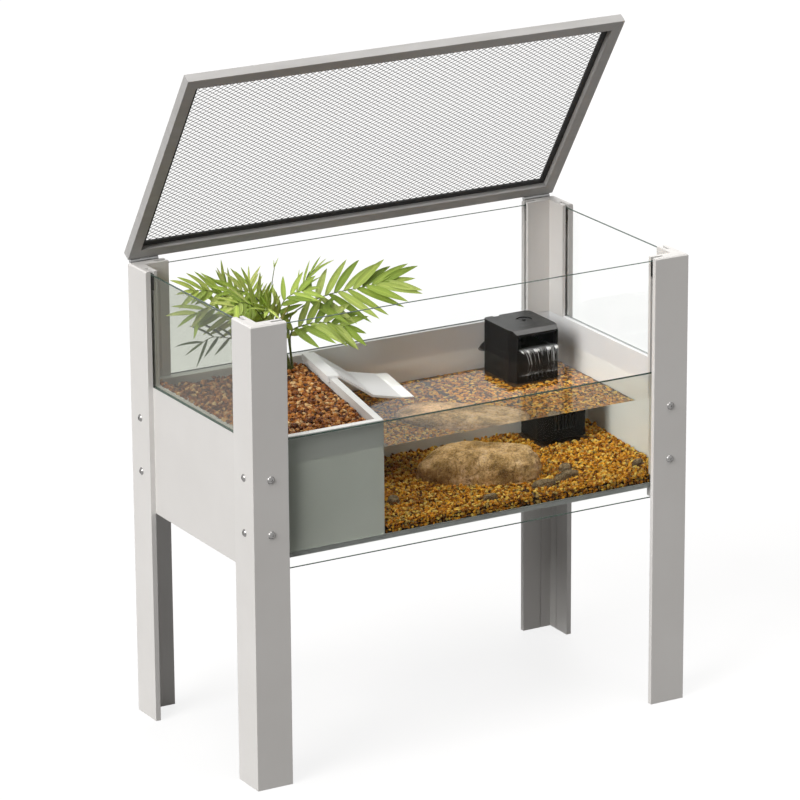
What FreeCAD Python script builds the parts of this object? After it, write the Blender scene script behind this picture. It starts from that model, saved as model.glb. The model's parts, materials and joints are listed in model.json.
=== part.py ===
import FreeCAD, Part
import math
import os

V = FreeCAD.Vector
X_AXIS = V(1, 0, 0)
Y_AXIS = V(0, 1, 0)
Z_AXIS = V(0, 0, 1)

# Stand: outer size over the legs, and the angle section of a leg
WIDTH = 600.0
DEPTH = 312.0
LEG_HEIGHT = 575.0
LEG_FLANGE = 47.0
LEG_WALL = 6.5
LEG_BEVEL = 1.6
LEG_LINE_OFFSET = 14.0
LEG_LINE_WIDTH = 1.6
LEG_LINE_DEPTH = 0.7

# Tub of boards between the legs
RIM_HEIGHT = 429.5
TUB_WALL = 8.0
TUB_HEIGHT = 160.0
SKIRT = 12.5
FLOOR = 6.5
POST_WIDTH = 29.5
POST_DEPTH = 12.5
POST_REBATE = 14.3
SEAL = 1.2

# Glass and the grooves that hold it
GLASS = 3.0
GLASS_PLAY = 0.2
GLASS_HEIGHT = 141.5
WEDGE = 1.2
WEDGE_LENGTH = 13.0
WEDGE_HEIGHT = 20.0
RETAINER = 4.5
SPACER_END = 31.0

# Bolts through the leg flanges into threaded inserts
BOLT_INSET = 23.5
BOLT_ABOVE_EDGE = 48.5
BOLT_BELOW_RIM = 43.5
BOLT_RADIUS = 2.5
BOLT_HOLE_PLAY = 0.2
HEAD_RADIUS = 4.8
HEAD_HEIGHT = 2.7
SOCKET_RADIUS = 1.7
SOCKET_DEPTH = 1.3
INSERT_RADIUS = 3.5
INSERT_LENGTH = 6.0
THREAD_PLAY = 0.05

# Lid frame, mesh and hinges
LID_SIDE_INSET = 1.0
LID_FRONT_INSET = 6.5
LID_THICK = 12.0
LID_GAP = 0.5
LID_OPEN = 56.7
RAIL = 14.0
RAIL_SLOT_HEIGHT = 9.0
RAIL_SLOT_DEPTH = 4.5
RAIL_BORE_INSET = 2.0
RAIL_BORE_WIDTH = 6.0
RAIL_BORE_HEIGHT = 5.0
KEY_LENGTH = 30.0
KEY_PLAY = 0.2
MESH_THICK = 1.2
MESH_PLAY = 0.2
MESH_COLUMNS = 16
MESH_ROWS = 8
MESH_STRAND = 0.8
GASKET_WIDTH = 7.0
GASKET_THICK = 2.5
HINGE_WIDTH = 36.0
HINGE_LEAF = 1.5
HINGE_LEAF_LEG = 26.0
HINGE_LEAF_LID = 10.0
HINGE_SCREW_DROP = 15.0
KNUCKLE_RADIUS = 3.0
KNUCKLE_GAP = 0.3
PIN_RADIUS = 1.4
PIN_PLAY = 0.05
PIN_HEAD = 0.8
SCREW_RADIUS = 1.5
SCREW_HEAD_RADIUS = 2.6
SCREW_HEAD_CROWN = 1.9
SCREW_HEAD_HEIGHT = 1.0
SCREW_BITE = 4.0
SCREW_SPREAD = 11.0

# Planter: left, back and front sides follow the tub, the right side is slanted
PLANTER_FRONT_RUN = 165.3
PLANTER_BACK_RUN = 220.0
PLANTER_WALL = 9.0
PLANTER_FLOOR = 6.0
PLANTER_PLAY = 0.5
PLANTER_RISE = 1.0
PLANTER_FREEBOARD = 7.0

# Ramp: a folded plate that hooks over the slanted rim
RAMP_THICK = 3.0
RAMP_WIDTH = 101.0
RAMP_BACK_INSET = 14.5
RAMP_SEAT = 0.2
RAMP_LIP = 4.5
RAMP_HOOK_PLAY = 0.4
RAMP_STEEP_RUN = 43.0
RAMP_STEEP_DROP = 29.5
RAMP_FLAT_RUN = 52.0
RAMP_FLAT_DROP = 9.5

# Gravel bed and stones in the water
GRAVEL_FRONT = 12.0
GRAVEL_BACK = 24.5
GRAVEL_PLAY = 0.3
BOULDER_LENGTH = 172.0
BOULDER_WIDTH = 84.0
BOULDER_HEIGHT = 92.0
BOULDER_LEFT_OF_MIDDLE = 33.0
BOULDER_FROM_PANE = 124.3
BOULDER_ANGLE = -38.0
BOULDER_CROWN = 44.0

# Small stones: share of the way from planter to right wall, distance from the lower front pane, length,
# width, height over the gravel, turn
STONES = (
    (0.667, 49.3, 44.0, 15.0, 8.0, 18.0),
    (0.574, 34.3, 34.0, 17.0, 8.0, -8.0),
    (0.693, 80.3, 26.0, 18.0, 9.0, 60.0),
    (0.376, 24.3, 22.0, 13.0, 6.0, 5.0),
    (0.930, 50.3, 20.0, 14.0, 6.0, 40.0),
    (0.0735, 86.3, 26.0, 16.0, 7.0, 75.0),
)

# Palm: each frond's stalk bends once and ends at the tip, measured from the crown; the last size is its
# leaflets' length
CROWN_INSET_RIGHT = 27.0
CROWN_INSET_BACK = 22.0
CROWN_RADIUS = 7.0
CROWN_HEIGHT = 6.0
STALK_RADIUS = 1.4
LEAF_THICK = 0.8
LEAFLET_PITCH = 14.0
LEAFLET_BASE = 9.0
LEAFLET_ANGLE = 48.0
BLADE_FACING = V(-0.45, -0.75, 0.48)
FRONDS = (
    (V(11, -7, 79), V(122, -21, 97), 50.0),
    (V(4, -11, 59), V(64, -29, 56), 35.0),
    (V(-2, 4, 82), V(13, 7, 107), 34.0),
    (V(-21, -13, 88), V(6, -21, 104), 29.0),
    (V(-38, 12, 84), V(-48, 20, 112), 24.0),
    (V(-63, 16, 85), V(-84, 20, 116), 27.0),
    (V(-88, -11, 101), V(-146, -22, 124), 33.0),
    (V(-85, -9, 80), V(-142, -15, 94), 34.0),
    (V(-80, -18, 53), V(-144, -33, 68), 32.0),
    (V(-71, -35, 97), V(-112, -58, 110), 30.0),
    (V(-51, -11, 96), V(-95, -19, 116), 30.0),
    (V(-54, -23, 86), V(-96, -45, 96), 32.0),
    (V(-46, -33, 82), V(-66, -58, 98), 30.0),
)

# Waterfall filter that stands against the back wall
PUMP_WIDTH = 68.0
PUMP_DEPTH = 78.0
PUMP_HEIGHT = 124.0
PUMP_SIDE_GAP = 35.0
PUMP_BACK_GAP = 6.5
PUMP_LIFT = 0.3
PUMP_BACK_ROUND = 8.0
PUMP_TAPER = 4.0
PUMP_TAPER_RUN = 14.0
PUMP_WALL = 2.5
PUMP_FLOOR = 3.0
COVER_HEIGHT = 31.0
COVER_TOP = 6.0
COVER_BEVEL_RUN = 7.0
COVER_BEVEL_DROP = 4.0
COVER_SKIRT = 6.0
COVER_PLAY = 0.3
FALL_WIDTH = 56.0
FALL_HEIGHT = 19.0
FALL_RISE = 5.0
LIP_REACH = 5.0
LIP_THICK = 2.0
LIP_LEDGE = 6.0
PLUG_RADIUS = 6.5
PLUG_FLANGE_RADIUS = 9.0
PLUG_BORE = 3.0
PLUG_DISH_RADIUS = 10.0
PLUG_DISH_DEPTH = 1.4
PLUG_PLAY = 0.2
PLUG_OFFSET_X = 8.5
PLUG_OFFSET_Y = 7.3
NOTCH_WIDTH = 10.0
NOTCH_DEPTH = 3.5
NOTCH_OFFSET = 20.0
GROMMET_BORE = 2.5
CUP_RADIUS = 14.0
CUP_RIM = 1.6
CUP_STEM_RADIUS = 2.5
CUP_HEAD_RADIUS = 3.4
CUP_SPREAD = 44.0
CUP_BELOW_TOP = 47.0
GRILLE_WIDTH = 36.0
GRILLE_HEIGHT = 24.0
GRILLE_ABOVE_FLOOR = 6.0
GRILLE_SLOTS = 6
GRILLE_SLOT_WIDTH = 3.0
GRILLE_BORDER = 3.0
SPONGE_DEPTH = 24.0
SPONGE_HEIGHT = 78.0
SPONGE_PLAY = 0.6
MOTOR_WIDTH = 46.0
MOTOR_DEPTH = 36.0
MOTOR_HEIGHT = 36.0
ROTOR_RADIUS = 8.4
ROTOR_LENGTH = 22.0
ROTOR_PLAY = 0.6
SHAFT_RADIUS = 1.5
SHAFT_PLAY = 0.05
SHAFT_SEAT = 3.0
IMPELLER_RADIUS = 11.0
IMPELLER_HEIGHT = 8.0
IMPELLER_HUB = 4.0
IMPELLER_BLADE = 1.4
IMPELLER_BLADES = 5
VOLUTE_WALL = 2.0
VOLUTE_PLAY = 1.0
RISER_RADIUS = 5.0
RISER_WALL = 1.5
RISER_OFFSET = 7.0

# Places worked out from the sizes above
X_OUT = WIDTH / 2
Y_OUT = DEPTH / 2
X_IN = X_OUT - LEG_WALL
Y_IN = Y_OUT - LEG_WALL
GROOVE = GLASS_PLAY + GLASS + WEDGE
RETAINER_FACE = LEG_WALL + GROOVE + RETAINER
TUB_BOTTOM = RIM_HEIGHT - TUB_HEIGHT
BOLT_HEIGHTS = (TUB_BOTTOM + BOLT_ABOVE_EDGE, RIM_HEIGHT - BOLT_BELOW_RIM)
FLOOR_BOTTOM = TUB_BOTTOM + SKIRT
FLOOR_TOP = FLOOR_BOTTOM + FLOOR
X_WALL = X_IN - TUB_WALL
Y_WALL = Y_IN - TUB_WALL
PANE_OUT = Y_IN - GLASS_PLAY
PANE_IN = PANE_OUT - GLASS
SEAL_IN = PANE_IN - SEAL
POST_IN_X = X_WALL - POST_WIDTH
POST_IN_Y = Y_IN - POST_DEPTH
REBATE_X = POST_IN_X + POST_REBATE
GLASS_TOP = RIM_HEIGHT + GLASS_HEIGHT
LID_BOTTOM = LEG_HEIGHT + LID_GAP
LID_TOP = LID_BOTTOM + LID_THICK
LID_WIDTH = WIDTH - 2 * LID_SIDE_INSET
LID_DEPTH = DEPTH - LID_FRONT_INSET
LID_BACK = Y_OUT
LID_FRONT = LID_BACK - LID_DEPTH
HINGE_Y = Y_OUT + KNUCKLE_RADIUS + KNUCKLE_GAP
HINGE_Z = LID_BOTTOM
HINGE_X = X_OUT - LEG_FLANGE / 2
PLANTER_RIM = RIM_HEIGHT + PLANTER_RISE
PLANTER_LEFT = -X_OUT + RETAINER_FACE + PLANTER_PLAY
PLANTER_BACK = Y_OUT - RETAINER_FACE - PLANTER_PLAY
PLANTER_FRONT = -(SEAL_IN - PLANTER_PLAY)
PLANTER_SOIL = PLANTER_RIM - PLANTER_FREEBOARD
PUMP_RIGHT = X_WALL - PUMP_SIDE_GAP
PUMP_MID_X = PUMP_RIGHT - PUMP_WIDTH / 2
PUMP_BACK = Y_WALL - PUMP_BACK_GAP
PUMP_FRONT = PUMP_BACK - PUMP_DEPTH
PUMP_BOTTOM = FLOOR_TOP + GRAVEL_BACK + PUMP_LIFT
PUMP_TOP = PUMP_BOTTOM + PUMP_HEIGHT
PUMP_SEAM = PUMP_TOP - COVER_HEIGHT
COVER_CEILING = PUMP_TOP - COVER_TOP


def box(x0, x1, y0, y1, z0, z1):
    return Part.makeBox(x1 - x0, y1 - y0, z1 - z0, V(x0, y0, z0))


def polygon(points):
    return Part.Face(Part.makePolygon(points + [points[0]]))


def prism(plan, z0, z1):
    return polygon([V(x, y, z0) for x, y in plan]).extrude(V(0, 0, z1 - z0))


def rod(radius, start, along, length):
    return Part.makeCylinder(radius, length, start, along)


def tube(radius, bore, start, along, length):
    return rod(radius, start, along, length).cut(rod(bore, start, along, length))


def mirrored(shape, normal):
    return shape.mirror(V(0, 0, 0), normal)


def moved(shape, offset):
    copy = shape.copy()
    copy.translate(offset)
    return copy


def turned(shape, centre, axis, degrees):
    copy = shape.copy()
    copy.rotate(centre, axis, degrees)
    return copy


def group(shapes):
    return Part.makeCompound(shapes)


def four_corners(shape):
    """Copies of a front-left piece for the four corners, by corner name."""
    front_right = mirrored(shape, X_AXIS)
    return {
        "front_left": shape,
        "front_right": front_right,
        "rear_left": mirrored(shape, Y_AXIS),
        "rear_right": mirrored(front_right, Y_AXIS),
    }


def corner_point(u, v):
    """A plan point measured inwards from the outer front-left corner of the stand."""
    return (-X_OUT + u, -Y_OUT + v)


# Fasteners: each is made along +X from the outer face of what it holds, with its head outside
def button_bolt(length):
    crown = (HEAD_RADIUS ** 2 + HEAD_HEIGHT ** 2) / (2 * HEAD_HEIGHT)
    ball = Part.makeSphere(crown, V(crown - HEAD_HEIGHT, 0, 0))
    head = ball.common(rod(HEAD_RADIUS, V(-HEAD_HEIGHT, 0, 0), X_AXIS, HEAD_HEIGHT))
    sides = [i * math.pi / 3 for i in range(6)]
    socket_rim = [V(-HEAD_HEIGHT, SOCKET_RADIUS * math.cos(a), SOCKET_RADIUS * math.sin(a)) for a in sides]
    socket = polygon(socket_rim).extrude(V(SOCKET_DEPTH, 0, 0))
    return head.fuse(rod(BOLT_RADIUS, V(0, 0, 0), X_AXIS, length)).cut(socket).removeSplitter()


def screw(length):
    head_top = V(-SCREW_HEAD_HEIGHT, 0, 0)
    head = Part.makeCone(SCREW_HEAD_CROWN, SCREW_HEAD_RADIUS, SCREW_HEAD_HEIGHT, head_top, X_AXIS)
    return head.fuse(rod(SCREW_RADIUS, V(0, 0, 0), X_AXIS, length)).removeSplitter()


def bolt_seats():
    """Place and turn about Z of every leg bolt, whose inward way is +X before the turn."""
    along_x = X_OUT - BOLT_INSET
    along_y = Y_OUT - BOLT_INSET
    seats = []
    for z in BOLT_HEIGHTS:
        for side in (-1, 1):
            seats.append((V(-X_OUT, side * along_y, z), 0))
            seats.append((V(X_OUT, side * along_y, z), 180))
            seats.append((V(side * along_x, -Y_OUT, z), 90))
            seats.append((V(side * along_x, Y_OUT, z), -90))
    return seats


def at_bolt_seats(shape):
    return [moved(turned(shape, V(0, 0, 0), Z_AXIS, angle), place) for place, angle in bolt_seats()]


def make_legs(parts):
    near = LEG_WALL + LEG_LINE_OFFSET
    half = [
        (0, 0),
        (LEG_FLANGE, 0),
        (LEG_FLANGE, LEG_WALL),
        (near + LEG_LINE_WIDTH, LEG_WALL),
        (near + LEG_LINE_WIDTH, LEG_WALL - LEG_LINE_DEPTH),
        (near, LEG_WALL - LEG_LINE_DEPTH),
        (near, LEG_WALL),
        (LEG_WALL, LEG_WALL),
    ]
    outline = half + [(v, u) for u, v in reversed(half[1:-1])]
    leg = prism([corner_point(u, v) for u, v in outline], 0, LEG_HEIGHT)
    leg = leg.makeChamfer(LEG_BEVEL, top_outer_edges(leg))
    holes = at_bolt_seats(rod(BOLT_RADIUS + BOLT_HOLE_PLAY, V(0, 0, 0), X_AXIS, LEG_WALL))
    for corner, shape in four_corners(leg).items():
        parts["leg_" + corner] = shape.cut(group(holes))


def top_outer_edges(leg):
    """The two long top edges on the outer faces of the front-left leg."""
    edges = []
    for edge in leg.Edges:
        bounds = edge.BoundBox
        on_top = bounds.ZMin > LEG_HEIGHT - LEG_BEVEL
        on_side = bounds.XMax < -X_OUT + LEG_BEVEL
        on_front = bounds.YMax < -Y_OUT + LEG_BEVEL
        if on_top and (on_side or on_front):
            edges.append(edge)
    return edges


def make_retainers(parts):
    inner = LEG_WALL + GROOVE
    face = RETAINER_FACE
    half = [
        (LEG_WALL, LEG_WALL),
        (SPACER_END, LEG_WALL),
        (SPACER_END, inner),
        (LEG_FLANGE, inner),
        (LEG_FLANGE, face),
        (face, face),
    ]
    outline = half + [(v, u) for u, v in reversed(half[1:-1])]
    retainer = prism([corner_point(u, v) for u, v in outline], RIM_HEIGHT, LEG_HEIGHT)
    for corner, shape in four_corners(retainer).items():
        parts["corner_retainer_" + corner] = shape


def make_fasteners(parts):
    parts["leg_bolts"] = group(at_bolt_seats(button_bolt(LEG_WALL + INSERT_LENGTH - SOCKET_DEPTH)))
    insert = tube(INSERT_RADIUS, BOLT_RADIUS + THREAD_PLAY, V(LEG_WALL, 0, 0), X_AXIS, INSERT_LENGTH)
    parts["threaded_inserts"] = group(at_bolt_seats(insert))


def make_tub(parts):
    pockets = group(at_bolt_seats(rod(INSERT_RADIUS, V(0, 0, 0), X_AXIS, LEG_WALL + INSERT_LENGTH)))
    left = box(-X_IN, -X_WALL, -Y_IN, Y_IN, TUB_BOTTOM, RIM_HEIGHT)
    back = box(-X_WALL, X_WALL, Y_WALL, Y_IN, TUB_BOTTOM, RIM_HEIGHT)
    parts["tub_left_wall"] = left.cut(pockets)
    parts["tub_right_wall"] = mirrored(left, X_AXIS).cut(pockets)
    parts["tub_back_wall"] = back.cut(pockets)
    floor_plan = [
        (-X_WALL, -POST_IN_Y), (-POST_IN_X, -POST_IN_Y), (-POST_IN_X, -SEAL_IN), (POST_IN_X, -SEAL_IN),
        (POST_IN_X, -POST_IN_Y), (X_WALL, -POST_IN_Y), (X_WALL, Y_WALL), (-X_WALL, Y_WALL),
    ]
    parts["tub_floor"] = prism(floor_plan, FLOOR_BOTTOM, FLOOR_TOP)
    post_plan = [
        (-X_WALL, -Y_IN), (-REBATE_X, -Y_IN), (-REBATE_X, -SEAL_IN), (-POST_IN_X, -SEAL_IN),
        (-POST_IN_X, -POST_IN_Y), (-X_WALL, -POST_IN_Y),
    ]
    post = prism(post_plan, TUB_BOTTOM, RIM_HEIGHT)
    parts["front_post_left"] = post.cut(pockets)
    parts["front_post_right"] = mirrored(post, X_AXIS).cut(pockets)
    pane_end = REBATE_X - GLASS_PLAY
    parts["front_tub_glass"] = box(-pane_end, pane_end, -PANE_OUT, -PANE_IN, TUB_BOTTOM, RIM_HEIGHT)
    upright = box(-REBATE_X, -POST_IN_X, -PANE_IN, -SEAL_IN, FLOOR_BOTTOM, RIM_HEIGHT)
    bottom = box(-POST_IN_X, POST_IN_X, -PANE_IN, -SEAL_IN, FLOOR_BOTTOM, FLOOR_TOP)
    seal = upright.fuse([bottom, mirrored(upright, X_AXIS)]).removeSplitter()
    parts["front_glass_seal"] = seal


def make_upper_glass(parts):
    pane_x = X_OUT - SPACER_END - GLASS_PLAY
    pane_y = Y_OUT - SPACER_END - GLASS_PLAY
    side_out = X_IN - GLASS_PLAY
    front = box(-pane_x, pane_x, -PANE_OUT, -PANE_IN, RIM_HEIGHT, GLASS_TOP)
    left = box(-side_out, -side_out + GLASS, -pane_y, pane_y, RIM_HEIGHT, GLASS_TOP)
    parts["front_glass"] = front
    parts["back_glass"] = box(-pane_x, pane_x, PANE_IN, PANE_OUT, RIM_HEIGHT, GLASS_TOP)
    parts["left_glass"] = left
    parts["right_glass"] = mirrored(left, X_AXIS)
    wedge_end = LEG_FLANGE
    wedge_start = wedge_end - WEDGE_LENGTH
    groove_in = LEG_WALL + GROOVE
    low = GLASS_TOP - WEDGE_HEIGHT
    front_wedge = box(-X_OUT + wedge_start, -X_OUT + wedge_end, -Y_OUT + groove_in - WEDGE, -Y_OUT + groove_in,
                      low, GLASS_TOP)
    side_wedge = box(-X_OUT + groove_in - WEDGE, -X_OUT + groove_in, -Y_OUT + wedge_start, -Y_OUT + wedge_end,
                     low, GLASS_TOP)
    wedges = list(four_corners(front_wedge).values()) + list(four_corners(side_wedge).values())
    parts["glazing_wedges"] = group(wedges)


def opened(shape):
    """Turn a lid piece from the closed place about the hinge axis to where it rests, open."""
    return turned(shape, V(0, HINGE_Y, HINGE_Z), X_AXIS, -LID_OPEN)


def lid_rail(outer, inner, bore_side, slot_side):
    """A mitred rail from its outer and inner edges in plan, less its bore and the slot for the mesh."""
    rail = prism(outer + list(reversed(inner)), LID_BOTTOM, LID_TOP)
    return rail.cut(group([bore_side, slot_side]))


def make_lid_frame(parts):
    x = LID_WIDTH / 2
    xi = x - RAIL
    yf, yb = LID_FRONT, LID_BACK
    yfi, ybi = yf + RAIL, yb - RAIL
    slot_low = LID_BOTTOM + RAIL_SLOT_HEIGHT
    slot_high = slot_low + MESH_THICK + MESH_PLAY
    sx, syf, syb = xi + RAIL_SLOT_DEPTH, yfi - RAIL_SLOT_DEPTH, ybi + RAIL_SLOT_DEPTH
    slot = box(-sx, sx, syf, syb, slot_low, slot_high)
    bore_out = RAIL_BORE_INSET
    bore_in = RAIL_BORE_INSET + RAIL_BORE_WIDTH
    bore_low = LID_BOTTOM + RAIL_BORE_INSET
    bore = frame_ring(x - bore_out, x - bore_in, yf + bore_out, yf + bore_in, yb - bore_out, yb - bore_in,
                      bore_low, bore_low + RAIL_BORE_HEIGHT)
    corners = {"fl": (-x, yf), "fr": (x, yf), "bl": (-x, yb), "br": (x, yb)}
    insides = {"fl": (-xi, yfi), "fr": (xi, yfi), "bl": (-xi, ybi), "br": (xi, ybi)}
    rails = (("front", "fl", "fr"), ("back", "bl", "br"), ("left", "fl", "bl"), ("right", "fr", "br"))
    for name, a, b in rails:
        rail = lid_rail([corners[a], corners[b]], [insides[a], insides[b]], bore, slot)
        parts["lid_%s_rail" % name] = opened(rail)
    parts["lid_corner_keys"] = group([opened(key) for key in lid_keys(bore_low)])
    parts["mesh_gasket"] = opened(frame_ring(xi, xi - GASKET_WIDTH, yfi, yfi + GASKET_WIDTH, ybi,
                                             ybi - GASKET_WIDTH, slot_low - GASKET_THICK, slot_low))
    parts["lid_mesh"] = opened(diamond_mesh(sx - MESH_PLAY, syf + MESH_PLAY, syb - MESH_PLAY, slot_low))


def frame_ring(x_out, x_in, front_out, front_in, back_out, back_in, z0, z1):
    outer = box(-x_out, x_out, front_out, back_out, z0, z1)
    return outer.cut(box(-x_in, x_in, front_in, back_in, z0, z1))


def lid_keys(bore_low):
    """Four angle keys that lie in the bores of the rails and hold the mitres together."""
    out = RAIL_BORE_INSET + KEY_PLAY
    width = RAIL_BORE_WIDTH - 2 * KEY_PLAY
    high = bore_low + RAIL_BORE_HEIGHT - KEY_PLAY
    keys = []
    for side in (-1, 1):
        for y_edge, inward in ((LID_FRONT, 1), (LID_BACK, -1)):
            edge_x = side * (LID_WIDTH / 2 - out)
            edge_y = y_edge + inward * out
            plan = [
                (edge_x, edge_y),
                (edge_x - side * KEY_LENGTH, edge_y),
                (edge_x - side * KEY_LENGTH, edge_y + inward * width),
                (edge_x - side * width, edge_y + inward * width),
                (edge_x - side * width, edge_y + inward * KEY_LENGTH),
                (edge_x, edge_y + inward * KEY_LENGTH),
            ]
            keys.append(prism(plan, bore_low, high))
    return keys


def diamond_mesh(x_edge, y_front, y_back, z):
    """One holed sheet: a field of diamonds in two staggered grids, cut off at a plain border."""
    border = RAIL_SLOT_DEPTH + MESH_STRAND
    pitch_x = 2 * (x_edge - border) / MESH_COLUMNS
    pitch_y = (y_back - y_front - 2 * border) / MESH_ROWS
    half_x = pitch_x / 2 - MESH_STRAND
    half_y = pitch_y / 2 - MESH_STRAND * pitch_y / pitch_x
    sheet = Part.makePolygon([V(-x_edge, y_front, z), V(x_edge, y_front, z), V(x_edge, y_back, z),
                              V(-x_edge, y_back, z), V(-x_edge, y_front, z)])
    holes = []
    for stagger in (0, 1):
        for i in range(MESH_COLUMNS + stagger):
            for j in range(MESH_ROWS + stagger):
                cx = -x_edge + border + pitch_x * (i + (1 - stagger) / 2)
                cy = y_front + border + pitch_y * (j + (1 - stagger) / 2)
                left = 0 if stagger and i == 0 else -half_x
                right = 0 if stagger and i == MESH_COLUMNS else half_x
                front = 0 if stagger and j == 0 else -half_y
                back = 0 if stagger and j == MESH_ROWS else half_y
                corners = [(left, 0), (0, front), (right, 0), (0, back)]
                outline = [V(cx + x, cy + y, z) for x, y in dict.fromkeys(corners)]
                holes.append(Part.makePolygon(outline + outline[:1]))
    face = Part.Face([sheet] + holes)
    return face.extrude(V(0, 0, MESH_THICK))


def leg_leaf(left):
    """Hinge leaf on the back of a leg, with the two outer knuckles and room for the middle one."""
    knuckles = rod(KNUCKLE_RADIUS, V(left, HINGE_Y, HINGE_Z), X_AXIS, HINGE_WIDTH)
    plate = box(left, left + HINGE_WIDTH, Y_OUT, Y_OUT + HINGE_LEAF, HINGE_Z - HINGE_LEAF_LEG, HINGE_Z)
    third = HINGE_WIDTH / 3
    reach = KNUCKLE_RADIUS + KNUCKLE_GAP
    room = box(left + third - KNUCKLE_GAP, left + 2 * third + KNUCKLE_GAP, HINGE_Y - reach, HINGE_Y + reach,
               HINGE_Z - reach, HINGE_Z + reach)
    return knuckles.fuse(plate).cut(room)


def lid_leaf(left):
    """Hinge leaf on the back of the lid as it lies closed, with the middle knuckle."""
    third = HINGE_WIDTH / 3
    wing_low = HINGE_Z + KNUCKLE_RADIUS + KNUCKLE_GAP
    knuckle = rod(KNUCKLE_RADIUS, V(left + third, HINGE_Y, HINGE_Z), X_AXIS, third)
    neck = box(left + third, left + 2 * third, Y_OUT, Y_OUT + HINGE_LEAF, HINGE_Z, wing_low)
    wing = box(left, left + HINGE_WIDTH, Y_OUT, Y_OUT + HINGE_LEAF, wing_low, HINGE_Z + HINGE_LEAF_LID)
    return knuckle.fuse([neck, wing])


def hinge_pin(left):
    head = rod(KNUCKLE_RADIUS, V(left - PIN_HEAD, HINGE_Y, HINGE_Z), X_AXIS, PIN_HEAD)
    return head.fuse(rod(PIN_RADIUS, V(left, HINGE_Y, HINGE_Z), X_AXIS, HINGE_WIDTH)).removeSplitter()


def hinge_screws(z):
    """Screws of both hinges at one height, driven forwards through the leaves."""
    driver = turned(screw(HINGE_LEAF + SCREW_BITE), V(0, 0, 0), Z_AXIS, -90)
    places = [side * HINGE_X + spread for side in (-1, 1) for spread in (-SCREW_SPREAD, SCREW_SPREAD)]
    return group([moved(driver, V(x, Y_OUT + HINGE_LEAF, z)) for x in places])


def make_hinges(parts):
    leg_screws = hinge_screws(HINGE_Z - HINGE_SCREW_DROP)
    lid_screws = hinge_screws(HINGE_Z + (KNUCKLE_RADIUS + KNUCKLE_GAP + HINGE_LEAF_LID) / 2)
    pins = []
    for name, side in (("left", -1), ("right", 1)):
        left = side * HINGE_X - HINGE_WIDTH / 2
        pin_hole = rod(PIN_RADIUS + PIN_PLAY, V(left, HINGE_Y, HINGE_Z), X_AXIS, HINGE_WIDTH)
        parts["hinge_leg_leaf_" + name] = leg_leaf(left).cut(group([pin_hole, leg_screws])).removeSplitter()
        leaf = lid_leaf(left).cut(group([pin_hole, lid_screws])).removeSplitter()
        parts["hinge_lid_leaf_" + name] = opened(leaf)
        parts["leg_rear_" + name] = parts["leg_rear_" + name].cut(leg_screws)
        pins.append(hinge_pin(left))
    parts["hinge_pins"] = group(pins)
    parts["hinge_leg_screws"] = leg_screws
    parts["hinge_lid_screws"] = opened(lid_screws)
    for name in ("lid_back_rail", "lid_left_rail", "lid_right_rail", "lid_corner_keys"):
        parts[name] = parts[name].cut(parts["hinge_lid_screws"])


def planter_plan(inset):
    """Outline of the planter in plan, drawn in by a wall, with the step that clears the front corner."""
    step_x = -X_OUT + LEG_FLANGE + PLANTER_PLAY + inset
    step_y = -POST_IN_Y + PLANTER_PLAY + inset
    left = PLANTER_LEFT + inset
    back = PLANTER_BACK - inset
    front = PLANTER_FRONT + inset
    return [(left, step_y), (step_x, step_y), (step_x, front), (slant_x(front) - slant_inset(inset), front),
            (slant_x(back) - slant_inset(inset), back), (left, back)]


def slant_x(y):
    """Where the slanted outer face of the planter stands at a depth."""
    front_x = PLANTER_LEFT + PLANTER_FRONT_RUN
    back_x = PLANTER_LEFT + PLANTER_BACK_RUN
    return front_x + (back_x - front_x) * (y - PLANTER_FRONT) / (PLANTER_BACK - PLANTER_FRONT)


def slant_inset(inset):
    """Width along X of a wall of the given thickness on the slanted side."""
    slope = (PLANTER_BACK_RUN - PLANTER_FRONT_RUN) / (PLANTER_BACK - PLANTER_FRONT)
    return inset * math.sqrt(1 + slope ** 2)


def make_planter(parts):
    bottom = FLOOR_TOP
    tray = prism(planter_plan(0), bottom, PLANTER_RIM)
    inside = planter_plan(PLANTER_WALL)
    parts["planter_tray"] = tray.cut(prism(inside, bottom + PLANTER_FLOOR, PLANTER_RIM))
    parts["planter_gravel"] = prism(inside, bottom + PLANTER_FLOOR, PLANTER_SOIL)


def slant_frame():
    """Start point on the slanted outer rim at the front, the way along it and the way out from it."""
    start = V(slant_x(PLANTER_FRONT), PLANTER_FRONT, PLANTER_RIM)
    end = V(slant_x(PLANTER_BACK), PLANTER_BACK, PLANTER_RIM)
    along = (end - start).normalize()
    return start, along, along.cross(Z_AXIS)


def offset_strip(points, thickness):
    """A folded strip: the outer side as given, the inner side a thickness to its right, mitred."""
    def right_normal(a, b):
        length = math.hypot(b[0] - a[0], b[1] - a[1])
        return ((b[1] - a[1]) / length, -(b[0] - a[0]) / length)
    normals = [right_normal(a, b) for a, b in zip(points, points[1:])]
    inner = []
    for i, (x, y) in enumerate(points):
        before = normals[max(i - 1, 0)]
        after = normals[min(i, len(normals) - 1)]
        share = thickness / (1 + before[0] * after[0] + before[1] * after[1])
        inner.append((x + share * (before[0] + after[0]), y + share * (before[1] + after[1])))
    return points + list(reversed(inner))


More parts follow.
